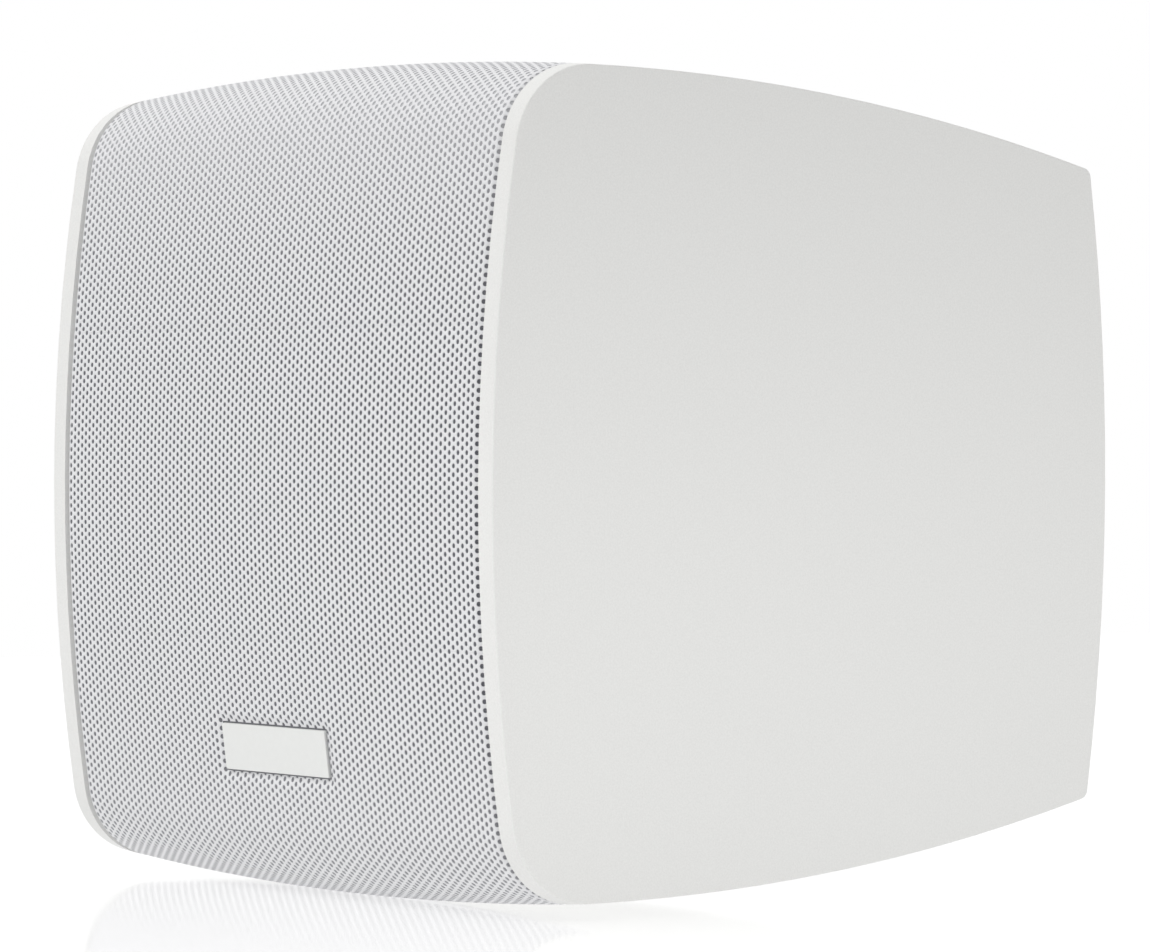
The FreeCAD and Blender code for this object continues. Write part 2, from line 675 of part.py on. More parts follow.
def cone_depth(r):
    """Depth of the cone's front face at a radius: an arc that swells forwards between lip and neck."""
    rim = CONE_R - CONE_LIP
    share = (rim - r) / (rim - FORMER_R)
    return SURROUND_BACK + CONE_DEPTH * share + CONE_SWELL * share * (1 - share)


def woofer_cone():
    """Curved paper cone from the surround's lip down to the coil former."""
    rim = CONE_R - CONE_LIP
    mid = (rim + FORMER_R) / 2
    front = bend((rim, SURROUND_BACK), (mid, cone_depth(mid)), (FORMER_R, CONE_NECK))
    back = bend((FORMER_R, CONE_NECK + CONE_T), (mid, cone_depth(mid) + CONE_T),
                (rim, SURROUND_BACK + CONE_T))
    edges = [front]
    edges += runs([(FORMER_R, CONE_NECK), (FORMER_R, CONE_NECK + CONE_T)])
    edges.append(back)
    edges += runs([(rim, SURROUND_BACK + CONE_T), (CONE_R, SURROUND_BACK + CONE_T), (CONE_R, SURROUND_BACK),
                   (rim, SURROUND_BACK)])
    return turned(edges, WOOFER_HEIGHT)


def bowl(base_r, rise, thick, base_y, height):
    """Thin spherical cap that bulges forwards from a round base."""
    sphere_r = (base_r ** 2 + rise ** 2) / (2 * rise)
    mid_r = base_r / 2
    drop = sphere_r - math.sqrt(sphere_r ** 2 - mid_r ** 2)
    front = bend((base_r, base_y), (mid_r, base_y - rise + drop), (0, base_y - rise))
    back = bend((0, base_y - rise + thick), (mid_r, base_y - rise + drop + thick), (base_r, base_y + thick))
    edges = [front]
    edges += runs([(0, base_y - rise), (0, base_y - rise + thick)])
    edges.append(back)
    edges += runs([(base_r, base_y + thick), (base_r, base_y)])
    return turned(edges, height)


def woofer_dust_cap():
    """Domed cap glued over the middle of the cone."""
    base = cone_depth(DUST_CAP_R) - DUST_CAP_T - FIT_GAP
    return bowl(DUST_CAP_R, DUST_CAP_RISE, DUST_CAP_T, base, WOOFER_HEIGHT)


def woofer_coil_former():
    """Tube that carries the voice coil, glued into the cone's neck."""
    return tube(COIL_R, FORMER_R, (CONE_NECK, FORMER_BACK), 0, WOOFER_HEIGHT)


def woofer_coil_winding():
    """Copper winding on the back end of the former, centred in the gap."""
    return tube(FORMER_R, FORMER_R + WINDING_T, (FORMER_BACK - WINDING_L, FORMER_BACK), 0, WOOFER_HEIGHT)


def woofer_spider():
    """Corrugated cloth disc that centres the former on the basket's ring."""
    start = FORMER_R + WINDING_T
    end = SPIDER_R - SPIDER_LIP
    step = (end - start) / (2 * SPIDER_WAVES)
    folds = [(FORMER_R, 0.0), (start, 0.0)]
    folds += [(start + (i + 0.5) * step, SPIDER_RISE * (-1) ** i) for i in range(2 * SPIDER_WAVES)]
    folds += [(end, 0.0), (SPIDER_R, 0.0)]
    front = [(r, RING_FRONT - SPIDER_T + lift) for r, lift in folds]
    back = [(r, RING_FRONT + lift) for r, lift in folds]
    return turned_outline(front + back[::-1], WOOFER_HEIGHT)


def woofer_top_plate():
    """Steel ring in front of the magnet, with the coil's gap in its bore."""
    return tube(PLATE_BORE_R, TOP_PLATE_R, (CUP_BOTTOM, TOP_PLATE_BACK), 0, WOOFER_HEIGHT)


def woofer_magnet():
    """Ferrite ring magnet."""
    return tube(MAGNET_BORE_R, MAGNET_R, (TOP_PLATE_BACK, MAGNET_BACK), 0, WOOFER_HEIGHT)


def woofer_yoke():
    """Back plate and pole piece in one."""
    pole_r = COIL_R - POLE_GAP
    return turned_outline([(0, CUP_BOTTOM), (pole_r, CUP_BOTTOM), (pole_r, MAGNET_BACK),
                           (YOKE_R, MAGNET_BACK), (YOKE_R, YOKE_BACK), (0, YOKE_BACK)], WOOFER_HEIGHT)


TAG_INNER_X = -BASKET_CUP_R - FIT_GAP


def woofer_tag_strip():
    """Fibre strip behind the basket's ring, for the two solder tabs."""
    return span_box((TAG_INNER_X - TAG_L, TAG_INNER_X), (RING_BACK, RING_BACK + TAG_T),
                    (WOOFER_HEIGHT - TAG_W / 2, WOOFER_HEIGHT + TAG_W / 2))


def woofer_tag_tabs():
    """Brass solder tabs on the strip."""
    start = TAG_INNER_X - TAG_L / 2
    tabs = []
    for side in (-1, 1):
        z = WOOFER_HEIGHT + side * TAG_TAB_SPACING / 2
        tabs.append(span_box((start - TAG_TAB_L, start), (RING_BACK + TAG_T, RING_BACK + TAG_T + TAG_TAB_T),
                             (z - TAG_TAB_W / 2, z + TAG_TAB_W / 2)))
    return tabs


# Tweeter

TWEETER_TOP_FRONT = TWEETER_SEAT + SEAL_T
TWEETER_TOP_BACK = TWEETER_TOP_FRONT + TWEETER_TOP_T
TWEETER_MAGNET_BACK = TWEETER_TOP_BACK + TWEETER_MAGNET_T
TWEETER_YOKE_BACK = TWEETER_MAGNET_BACK + TWEETER_YOKE_T
ROLL_OUTER_R = DOME_R + 2 * DOME_ROLL_R
TWEETER_COIL_R = DOME_R - TWEETER_COIL_T


def tweeter_faceplate():
    """Round plate with a flared mouth, and a spacer ring behind it that meets the motor."""
    plate = turned_outline([
        (TWEETER_MOUTH_R, BAFFLE_SETBACK), (TWEETER_R, BAFFLE_SETBACK), (TWEETER_R, TWEETER_SEAT),
        (TWEETER_MAGNET_R, TWEETER_SEAT), (TWEETER_MAGNET_R, TWEETER_TOP_FRONT),
        (TWEETER_SPACER_R, TWEETER_TOP_FRONT), (TWEETER_SPACER_R, TWEETER_SEAT),
        (TWEETER_THROAT_R, TWEETER_SEAT)], TWEETER_HEIGHT)
    return plate.cut([screw_hole(x, z, (0, DEPTH / 2)) for x, z in tweeter_screw_spots()])


def tweeter_screws():
    """Screws through the tweeter's plate into the baffle."""
    return [screw(x, z, BAFFLE_SETBACK, DRIVER_SCREW_L) for x, z in tweeter_screw_spots()]


def tweeter_suspension():
    """Small half-roll between the dome and the motor's plate."""
    return roll(SUSPENSION_LIP, FIT_GAP, DOME_ROLL_R, ROLL_OUTER_R, TWEETER_TOP_FRONT, SUSPENSION_T,
                TWEETER_HEIGHT)


DOME_BASE = TWEETER_TOP_FRONT - SUSPENSION_T


def tweeter_dome():
    """Coated cloth dome."""
    return bowl(DOME_R - 2 * FIT_GAP, DOME_RISE, DOME_T, DOME_BASE, TWEETER_HEIGHT)


def tweeter_coil():
    """Voice coil under the rim of the dome."""
    top = DOME_BASE + DOME_T
    return tube(TWEETER_COIL_R, DOME_R - 2 * FIT_GAP, (top, top + TWEETER_COIL_L), 0, TWEETER_HEIGHT)


def tweeter_top_plate():
    """Steel ring with the coil's gap in its bore."""
    plate = (TWEETER_TOP_FRONT, TWEETER_TOP_BACK)
    return tube(DOME_R + TWEETER_TOP_GAP, TWEETER_MAGNET_R, plate, 0, TWEETER_HEIGHT)


def tweeter_magnet():
    """Ferrite ring magnet."""
    ring = (TWEETER_TOP_BACK, TWEETER_MAGNET_BACK)
    return tube(TWEETER_MAGNET_BORE_R, TWEETER_MAGNET_R, ring, 0, TWEETER_HEIGHT)


def tweeter_yoke():
    """Back plate and pole piece in one."""
    pole_r = TWEETER_COIL_R - TWEETER_POLE_GAP
    pole_front = TWEETER_TOP_FRONT + DOME_T
    return turned_outline([(0, pole_front), (pole_r, pole_front), (pole_r, TWEETER_MAGNET_BACK),
                           (TWEETER_MAGNET_R, TWEETER_MAGNET_BACK), (TWEETER_MAGNET_R, TWEETER_YOKE_BACK),
                           (0, TWEETER_YOKE_BACK)], TWEETER_HEIGHT)


# Terminals on the back

POST_FLOOR = CUP_FLOOR + POST_COLLAR_T
KNOB_FRONT = POST_FLOOR + SLIDE_GAP
KNOB_BACK = KNOB_FRONT + KNOB_L
STUD_FRONT = CUP_FLOOR - CUP_WALL - NUT_T - STUD_TAIL
STUD_BACK = KNOB_BACK - KNOB_END - SLIDE_GAP
POST_X = {"red": -POST_SPACING / 2, "black": POST_SPACING / 2}


def terminal_cup():
    """Moulded cup with a flange, sunk in the back, that holds the two binding posts."""
    flange = (CUP_SEAT + SEAL_T, CUP_OUTER)
    cup = rounded_block(CUP_W / 2 + CUP_FLANGE, CUP_H / 2 + CUP_FLANGE, flange, CUP_CORNER_R, CUP_HEIGHT)
    cup = cup.fuse(rounded_block(CUP_W / 2 + CUP_WALL, CUP_H / 2 + CUP_WALL,
                                 (CUP_FLOOR - CUP_WALL, CUP_OUTER), CUP_CORNER_R, CUP_HEIGHT))
    cuts = [rounded_block(CUP_W / 2, CUP_H / 2, (CUP_FLOOR, BIG), CUP_CORNER_R - CUP_WALL, CUP_HEIGHT)]
    cuts += [rod(STUD_R + FIT_GAP, (DEPTH / 2, BIG), x, CUP_HEIGHT) for x in POST_X.values()]
    cuts += [screw_hole(x, z, (DEPTH / 2, BIG)) for x, z in cup_screw_spots()]
    return cup.cut(cuts).removeSplitter()


def terminal_gasket():
    """Foam frame under the cup's flange."""
    seal = (CUP_SEAT, CUP_SEAT + SEAL_T)
    frame = rounded_block(CUP_W / 2 + CUP_FLANGE, CUP_H / 2 + CUP_FLANGE, seal, CUP_CORNER_R, CUP_HEIGHT)
    frame = frame.cut(rounded_block(CUP_W / 2 + CUP_WALL + SLIDE_GAP, CUP_H / 2 + CUP_WALL + SLIDE_GAP,
                                    (DEPTH / 2, BIG), CUP_CORNER_R, CUP_HEIGHT))
    return frame.cut([screw_hole(x, z, seal) for x, z in cup_screw_spots()])


def terminal_screws():
    """Screws that hold the cup, driven from behind."""
    length = CUP_FLANGE_T + SEAL_T + WALL - SCREW_TIP
    screws = []
    for x, z in cup_screw_spots():
        piece = screw(0, 0, 0, length)
        piece.rotate(V(0, 0, 0), V(0, 0, 1), 180)
        piece.translate(V(x, CUP_OUTER, z))
        screws.append(piece)
    return screws


def post_collar(x):
    """Plastic collar that insulates a post from the cup's floor."""
    return tube(STUD_R + FIT_GAP, POST_COLLAR_R, (CUP_FLOOR, POST_FLOOR), x, CUP_HEIGHT)


def post_stud(x):
    """Threaded brass stud of a binding post, drawn at its outer diameter."""
    return rod(STUD_R, (STUD_FRONT, STUD_BACK), x, CUP_HEIGHT)


def post_nut(x):
    """Hexagonal nut behind the cup's floor."""
    y = (CUP_FLOOR - CUP_WALL - NUT_T, CUP_FLOOR - CUP_WALL)
    corners = [V(x + NUT_R * math.cos(i * math.pi / 3), y[0], CUP_HEIGHT + NUT_R * math.sin(i * math.pi / 3))
               for i in range(7)]
    nut = Part.Face(Part.makePolygon(corners)).extrude(V(0, NUT_T, 0))
    return nut.cut(rod(STUD_R + FIT_GAP, y, x, CUP_HEIGHT))


def post_knob(x):
    """Fluted knob that clamps the wire, with a blind bore for the stud."""
    knob = rod(KNOB_R, (KNOB_FRONT, KNOB_BACK), x, CUP_HEIGHT)
    ends = [e for e in knob.Edges if len(e.Vertexes) == 1 and e.CenterOfMass.y > KNOB_FRONT + KNOB_L / 2]
    knob = knob.makeChamfer(KNOB_FLUTE_R, ends)
    flute = rod(KNOB_FLUTE_R, (KNOB_FRONT + SLIDE_GAP + KNOB_FLUTE_R, BIG), x + KNOB_R, CUP_HEIGHT)
    flutes = []
    for i in range(KNOB_FLUTES):
        copy = flute.copy()
        copy.rotate(V(x, 0, CUP_HEIGHT), V(0, 1, 0), i * 360.0 / KNOB_FLUTES)
        flutes.append(copy)
    bore = rod(STUD_R + THREAD_GAP, (0, KNOB_BACK - KNOB_END), x, CUP_HEIGHT)
    return knob.cut(flutes + [bore])


# Crossover

BOARD_TOP = BOARD_FACE + BOARD_T


def crossover_board():
    """Circuit board on four posts of the left cheek."""
    board = span_box((BOARD_FACE, BOARD_TOP), (BOARD_DEPTH - BOARD_L / 2, BOARD_DEPTH + BOARD_L / 2),
                     (BOARD_HEIGHT - BOARD_H / 2, BOARD_HEIGHT + BOARD_H / 2))
    through = (BOARD_FACE, BOARD_TOP)
    return board.cut([side_bar(SCREW_R + FIT_GAP, through, y, z) for y, z in board_post_spots()])


def board_screws():
    """Screws that hold the board to its posts."""
    screws = []
    for y, z in board_post_spots():
        piece = screw(0, 0, 0, BOARD_T + BOARD_STANDOFF - SCREW_TIP)
        piece.rotate(V(0, 0, 0), V(0, 0, 1), 90)
        piece.translate(V(BOARD_TOP, y, z))
        screws.append(piece)
    return screws


COIL_BIG_Y = BOARD_DEPTH - BOARD_L / 2 + COIL_BIG_R + PART_SPACING
COIL_SMALL_Y = COIL_BIG_Y + COIL_BIG_R + PART_SPACING + COIL_SMALL_R


def wound_coil(radius, tall, y, z):
    """Air-core winding standing on the board."""
    span = (BOARD_TOP, BOARD_TOP + tall)
    return side_bar(radius, span, y, z).cut(side_bar(COIL_BORE_R, span, y, z))


def low_pass_inductor():
    """Larger winding, for the woofer."""
    return wound_coil(COIL_BIG_R, COIL_BIG_H, COIL_BIG_Y, BOARD_HEIGHT)


def high_pass_inductor():
    """Smaller winding, for the tweeter."""
    return wound_coil(COIL_SMALL_R, COIL_SMALL_H, COIL_SMALL_Y, BOARD_HEIGHT)


def crossover_capacitors():
    """Two film capacitors lying on the board, above and below the smaller winding."""
    lift = COIL_SMALL_R + PART_SPACING / 2 + CAPACITOR_R
    return [rod(CAPACITOR_R, (COIL_SMALL_Y - CAPACITOR_L / 2, COIL_SMALL_Y + CAPACITOR_L / 2),
                BOARD_TOP + CAPACITOR_R, BOARD_HEIGHT + side * lift) for side in (-1, 1)]


def crossover_resistor():
    """Cement resistor at the end of the board."""
    start = COIL_SMALL_Y + COIL_SMALL_R + PART_SPACING
    return span_box((BOARD_TOP, BOARD_TOP + RESISTOR_W), (start, start + RESISTOR_W),
                    (BOARD_HEIGHT - RESISTOR_L / 2, BOARD_HEIGHT + RESISTOR_L / 2))


def damping_felt():
    """Felt pad glued to the inside of the right cheek."""
    pad = rounded_block(FELT_L / 2, FELT_H / 2, (0, FELT_T), FELT_CORNER_R)
    pad.rotate(V(0, 0, 0), V(0, 0, 1), 90)
    pad.translate(V(HALF_W - WALL, FELT_DEPTH, 0))
    return pad


# Leads

LEAD_FRONT_Y = BOARD_DEPTH - BOARD_L / 2 + LEAD_SPACING - PART_SPACING / 2
LEAD_BACK_Y = BOARD_DEPTH + BOARD_L / 2 - BOARD_HOLE_INSET - RESISTOR_W / 2 - FIT_GAP
LEAD_LIFT = BOARD_H / 2 - BOARD_HOLE_INSET - PART_SPACING
TAB_BACK = RING_BACK + TAG_T + TAG_TAB_T
TAB_X = TAG_INNER_X - TAG_L / 2 - TAG_TAB_L * 2 / 3


def lead(points):
    """Round lead along straight runs, joined by tangent arcs as large as the runs allow."""
    spots = [V(*point) for point in points]
    edges = []
    start = spots[0]
    for before, corner, after in zip(spots, spots[1:], spots[2:]):
        back, onward = before - corner, after - corner
        trim = LEAD_BEND_SHARE * min(back.Length, onward.Length)
        back.normalize()
        onward.normalize()
        half_turn = (math.pi - back.getAngle(onward)) / 2
        radius = trim / math.tan(half_turn)
        inward = back + onward
        inward.normalize()
        middle = corner + inward * (math.hypot(trim, radius) - radius)
        edges.append(Part.LineSegment(start, corner + back * trim).toShape())
        edges.append(Part.Arc(corner + back * trim, middle, corner + onward * trim).toShape())
        start = corner + onward * trim
        print("lead bend radius", round(radius, 1))
    edges.append(Part.LineSegment(start, spots[-1]).toShape())
    ring = Part.Wire(Part.Circle(spots[0], spots[1] - spots[0], LEAD_R).toShape())
    return Part.Wire(edges).makePipeShell([ring], True, False)


def board_end(y, z):
    """Last two points of a lead, square to the board at a depth and a height."""
    return [(BOARD_TOP + LEAD_END, y, z), (BOARD_TOP, y, z)]


def input_leads():
    """Leads from the two posts to the board."""
    red, black = POST_X["red"], POST_X["black"]
    low, high = BOARD_HEIGHT - LEAD_END, BOARD_HEIGHT + LEAD_END - FIT_GAP
    return [lead([(red, STUD_FRONT, CUP_HEIGHT), (red, STUD_FRONT - LEAD_SPACING, CUP_HEIGHT),
                  INPUT_LEAD_SPOTS[0]] + board_end(LEAD_BACK_Y, low)),
            lead([(black, STUD_FRONT, CUP_HEIGHT), (black, STUD_FRONT - LEAD_END, CUP_HEIGHT),
                  INPUT_LEAD_SPOTS[1]] + board_end(LEAD_BACK_Y, high))]


def woofer_leads():
    """Leads from the board to the woofer's solder tabs."""
    low = BOARD_HEIGHT - LEAD_LIFT
    lower, upper = [WOOFER_HEIGHT + side * TAG_TAB_SPACING / 2 for side in (-1, 1)]
    return [lead([(TAB_X, TAB_BACK, lower), (TAB_X, TAB_BACK + LEAD_END, lower), WOOFER_LEAD_SPOTS[0]]
                 + board_end(LEAD_FRONT_Y, low)),
            lead([(TAB_X, TAB_BACK, upper), (TAB_X, TAB_BACK + LEAD_END, upper), WOOFER_LEAD_SPOTS[1]]
                 + board_end(LEAD_FRONT_Y + LEAD_SPACING, low))]


def tweeter_leads():
    """Leads from the board to the back of the tweeter."""
    high = BOARD_HEIGHT + LEAD_LIFT
    side = -TWEETER_COIL_R
    return [lead([(side, TWEETER_YOKE_BACK, TWEETER_HEIGHT + LEAD_SPACING / 3),
                  (side, TWEETER_YOKE_BACK + LEAD_END, TWEETER_HEIGHT + LEAD_SPACING / 3),
                  TWEETER_LEAD_SPOTS[0]] + board_end(LEAD_FRONT_Y, high)),
            lead([(side, TWEETER_YOKE_BACK, TWEETER_HEIGHT - LEAD_SPACING / 3),
                  (side, TWEETER_YOKE_BACK + LEAD_END, TWEETER_HEIGHT - LEAD_SPACING / 3),
                  TWEETER_LEAD_SPOTS[1]] + board_end(LEAD_FRONT_Y + LEAD_SPACING, high))]


# Writing


def place(shape):
    """Move a shape from the cabinet frame to the frame at the centre of the rear inserts."""
    shape.translate(V(0, -DEPTH, -MOUNT_HEIGHT))
    return shape


def write(name, piece):
    """Write one node: a solid, or a list of separate solids."""
    solids = piece if isinstance(piece, list) else [piece]
    shape = place(Part.makeCompound([solid for item in solids for solid in item.Solids]))
    shape.exportStep("parts/" + name + ".step")
    print(name, len(shape.Solids), shape.isValid(), round(shape.Volume))


def main():
    """Build every piece and write it."""
    os.makedirs("parts", exist_ok=True)
    pieces = [cabinet_shell, mounting_inserts, front_baffle, baffle_gasket, baffle_screws,
              grille, grille_cloth, badge_plate,
              woofer_basket, woofer_gasket, woofer_screws, woofer_surround, woofer_cone, woofer_dust_cap,
              woofer_coil_former, woofer_coil_winding, woofer_spider, woofer_top_plate, woofer_magnet,
              woofer_yoke, woofer_tag_strip, woofer_tag_tabs,
              tweeter_faceplate, tweeter_screws, tweeter_suspension, tweeter_dome, tweeter_coil,
              tweeter_top_plate, tweeter_magnet, tweeter_yoke,
              terminal_cup, terminal_gasket, terminal_screws,
              crossover_board, board_screws, low_pass_inductor, high_pass_inductor, crossover_capacitors,
              crossover_resistor, damping_felt, input_leads, woofer_leads, tweeter_leads]
    for make in pieces:
        write(make.__name__, make())
    for colour, x in POST_X.items():
        write(colour + "_post_collar", post_collar(x))
        write(colour + "_post_knob", post_knob(x))
    write("post_studs", [post_stud(x) for x in POST_X.values()])
    write("post_nuts", [post_nut(x) for x in POST_X.values()])


main()
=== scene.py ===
"""Looks of a two-way wall speaker: moulded white cabinet, perforated steel grille, drivers and terminals.

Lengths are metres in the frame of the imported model: the origin is the middle of the rear inserts, the
front faces -Y and +Z is up. Sizes that a maker gives in millimetres are multiplied by MM.
"""
import json
import logging
import math
from dataclasses import dataclass
from enum import Enum
from typing import Iterable, Sequence

import bmesh
import bpy
from bmesh.types import BMEdge, BMesh, BMFace, BMVert
from bpy.types import ID, Material, Mesh, Node, NodeSocket, NodeTree, Object, World
from mathutils import Matrix, Vector

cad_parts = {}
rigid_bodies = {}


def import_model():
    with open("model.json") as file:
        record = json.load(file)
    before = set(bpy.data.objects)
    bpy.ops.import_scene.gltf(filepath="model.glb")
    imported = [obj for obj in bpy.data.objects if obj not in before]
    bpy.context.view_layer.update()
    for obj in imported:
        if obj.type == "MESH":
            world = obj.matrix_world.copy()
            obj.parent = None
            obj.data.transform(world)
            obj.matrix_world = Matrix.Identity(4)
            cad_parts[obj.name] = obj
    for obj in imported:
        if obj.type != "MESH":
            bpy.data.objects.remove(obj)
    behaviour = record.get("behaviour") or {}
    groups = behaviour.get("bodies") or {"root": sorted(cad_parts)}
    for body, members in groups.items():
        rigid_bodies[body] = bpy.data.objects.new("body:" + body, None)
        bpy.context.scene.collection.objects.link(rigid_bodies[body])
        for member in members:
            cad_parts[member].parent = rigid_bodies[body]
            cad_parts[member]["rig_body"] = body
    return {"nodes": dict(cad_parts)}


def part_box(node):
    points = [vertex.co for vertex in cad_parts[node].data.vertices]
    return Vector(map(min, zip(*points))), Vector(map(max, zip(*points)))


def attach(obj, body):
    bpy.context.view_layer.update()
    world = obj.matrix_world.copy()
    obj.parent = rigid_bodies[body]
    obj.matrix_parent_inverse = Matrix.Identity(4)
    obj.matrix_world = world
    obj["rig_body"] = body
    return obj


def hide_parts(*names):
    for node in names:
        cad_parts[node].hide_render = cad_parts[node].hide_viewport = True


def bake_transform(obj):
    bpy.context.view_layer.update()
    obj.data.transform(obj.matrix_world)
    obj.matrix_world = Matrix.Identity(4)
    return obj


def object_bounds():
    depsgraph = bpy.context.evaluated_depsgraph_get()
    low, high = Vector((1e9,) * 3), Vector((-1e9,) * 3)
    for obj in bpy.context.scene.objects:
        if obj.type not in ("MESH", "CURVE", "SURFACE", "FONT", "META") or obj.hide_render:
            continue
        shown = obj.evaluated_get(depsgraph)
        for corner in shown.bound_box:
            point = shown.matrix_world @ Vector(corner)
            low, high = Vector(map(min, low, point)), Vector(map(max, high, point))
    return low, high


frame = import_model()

LOG = logging.getLogger("speaker")
MM = 0.001
CAD_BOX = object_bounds()
# Height of the lowest point, where the object stands
FLOOR = CAD_BOX[0].z
MERGE_DISTANCE = 0.002 * MM
# Edges of rubber, cloth and felt stay sharp only above this angle, in degrees
SOFT_DEG = 60.0
WHITE = (1.0, 1.0, 1.0, 1.0)

Point = tuple[float, float]


# Shader helpers


def linear(colour: str) -> tuple[float, float, float, float]:
    """Turn an sRGB hex colour into linear values.

    Args:
        colour: six hex digits after a hash sign.

    Returns:
        Linear red, green, blue and an alpha of one.
    """
    parts = [int(colour[i:i + 2], 16) / 255 for i in (1, 3, 5)]
    return (*[c / 12.92 if c <= 0.04045 else ((c + 0.055) / 1.055) ** 2.4 for c in parts], 1.0)


def add_node(tree: NodeTree, kind: str, inputs: dict | None = None, **props: object) -> Node:
    """Add one shader node with its settings and links.

    Args:
        tree: node tree that gets the node.
        kind: Blender's name of the node type.
        inputs: a value, or a socket to link, for each input by its name or number.
        props: the node's own settings.

    Returns:
        The new node.
    """
    node = tree.nodes.new(kind)
    for name, value in props.items():
        setattr(node, name, value)
    for key, value in (inputs or {}).items():
        if isinstance(value, NodeSocket):
            tree.links.new(value, node.inputs[key])
        else:
            node.inputs[key].default_value = value
    return node


def empty_tree(holder: Material | World) -> NodeTree:
    """Node tree of a material or a world, without nodes.

    Args:
        holder: the material or the world.

    Returns:
        The tree, ready for its nodes.
    """
    holder.use_nodes = True
    holder.node_tree.nodes.clear()
    return holder.node_tree


# Finishes

# Scale of the noise along each axis, which draws fibres out along Z
FIBRE_STRETCH = (1.0, 1.0, 0.3)
NOISE_DETAIL = 3.0
NOISE_ROUGHNESS = 0.6
# Width of one band of the wave texture at a scale of one
WAVE_LENGTH = math.pi / 10
LATHE_WANDER = 0.4
RELIEF_STRENGTH = 0.6


class Grain(Enum):
    """How the fine pattern of a surface runs."""

    SPARK = "spark-eroded mould"
    WEAVE = "woven threads"
    FIBRE = "pressed fibres"
    LATHE = "turns of a wire or a lathe tool"
    PORES = "open cells"


@dataclass(frozen=True)
class Finish:
    """A material and the way its surface was made.

    Attributes:
        name: the material's common name and its process.
        colour: sRGB hex of the lighter parts.
        shade: sRGB hex of the darker parts of the grain.
        roughness: mean roughness.
        grain: how the pattern runs.
        size: width of one grain, thread or ring, in metres.
        height: how far the grain stands out, in metres.
        metallic: one for bare metal.
        ior: refractive index of a dielectric.
        spread: how far the grain moves the roughness.
        sheen: weight of the soft edge light of cloth and felt.
        ends: sRGB hex of a pale tone painted where the piece's own "ends" attribute nears one, partly as
            painted light.
    """

    name: str
    colour: str
    shade: str
    roughness: float
    grain: Grain
    size: float
    height: float
    metallic: float = 0.0
    ior: float = 1.5
    spread: float = 0.08
    sheen: float = 0.0
    ends: str = ""

    def pattern(self, tree: NodeTree) -> NodeSocket:
        """Value from 0 to 1 that follows the grain over the surface.

        Args:
            tree: node tree of the material.

        Returns:
            The socket that gives the value.
        """
        place = add_node(tree, "ShaderNodeTexCoord").outputs["Object"]
        scale = 1.0 / self.size
        if self.grain in (Grain.SPARK, Grain.FIBRE):
            stretch = FIBRE_STRETCH if self.grain is Grain.FIBRE else (1.0, 1.0, 1.0)
            drawn = add_node(tree, "ShaderNodeMapping", {"Vector": place, "Scale": stretch}).outputs[0]
            return add_node(tree, "ShaderNodeTexNoise", {
                "Vector": drawn, "Scale": scale, "Detail": NOISE_DETAIL,
                "Roughness": NOISE_ROUGHNESS}).outputs[0]
        if self.grain is Grain.PORES:
            cells = add_node(tree, "ShaderNodeTexVoronoi", {"Vector": place, "Scale": scale})
            return cells.outputs["Distance"]
        bands = {"Vector": place, "Scale": scale * WAVE_LENGTH}
        if self.grain is Grain.WEAVE:
            threads = [add_node(tree, "ShaderNodeTexWave", bands, bands_direction=axis).outputs["Fac"]
                       for axis in ("X", "Z")]
            return add_node(tree, "ShaderNodeMath", {0: threads[0], 1: threads[1]},
                            operation="MULTIPLY").outputs[0]
        bands["Distortion"] = LATHE_WANDER
        return add_node(tree, "ShaderNodeTexWave", bands, bands_direction="Y").outputs["Fac"]

    def material(self) -> Material:
        """The material for this finish, made once.

        Returns:
            The material, ready to use.
        """
        known = bpy.data.materials.get(self.name)
        if known:
            return known
        made = bpy.data.materials.new(self.name)
        made.diffuse_color = linear(self.colour)
        tree = empty_tree(made)
        grain = self.pattern(tree)
        tone = add_node(tree, "ShaderNodeMix", {0: grain, 6: linear(self.shade), 7: linear(self.colour)},
                        data_type="RGBA").outputs[2]
        # Painted light: a pale tone mixed in where the "ends" attribute nears one, partly standing for the
        # white moulding behind
        if self.ends:
            share = add_node(tree, "ShaderNodeAttribute", attribute_name="ends").outputs["Fac"]
            tone = add_node(tree, "ShaderNodeMix", {0: share, 6: tone, 7: linear(self.ends)},
                            data_type="RGBA").outputs[2]
        rough = add_node(tree, "ShaderNodeMapRange", {0: grain, 3: self.roughness + self.spread,
                                                      4: self.roughness - self.spread})
        relief = add_node(tree, "ShaderNodeBump", {"Height": grain, "Distance": self.height,
                                                   "Strength": RELIEF_STRENGTH})
        skin = add_node(tree, "ShaderNodeBsdfPrincipled", {
            "Base Color": tone, "Roughness": rough.outputs[0], "Normal": relief.outputs[0],
            "Metallic": self.metallic, "IOR": self.ior, "Sheen Weight": self.sheen})
        add_node(tree, "ShaderNodeOutputMaterial", {"Surface": skin.outputs[0]})
        return made


# ABS moulded against a spark-eroded tool: matt, with a very fine even grit
CABINET_ABS = Finish("abs_moulded_white", "#EEEEEC", "#DCDCDA", 0.52, Grain.SPARK, 0.55 * MM, 0.012 * MM)
# Steel sheet with a baked powder coat: a little glossier than the moulding, with a faint orange peel
POWDER_COAT = Finish("steel_powder_coated_white", "#E6E6E8", "#E0E0E2", 0.42, Grain.SPARK, 1.2 * MM,
                     0.008 * MM)
# Walls of the punched holes, where the powder lies thin and the grey steel shows through; the grey is also
# painted shade, for the shadow inside the holes
THIN_COAT_AND_SHADE = Finish("steel_thin_coat_painted_shade", "#C9CACC", "#BBBCBF", 0.5, Grain.SPARK, 1.2 * MM, 0.008 * MM)
# Badge moulded in polished ABS
BADGE_ABS = Finish("abs_polished_white", "#E5E6E4", "#E0E1DF", 0.32, Grain.SPARK, 2.0 * MM, 0.003 * MM)
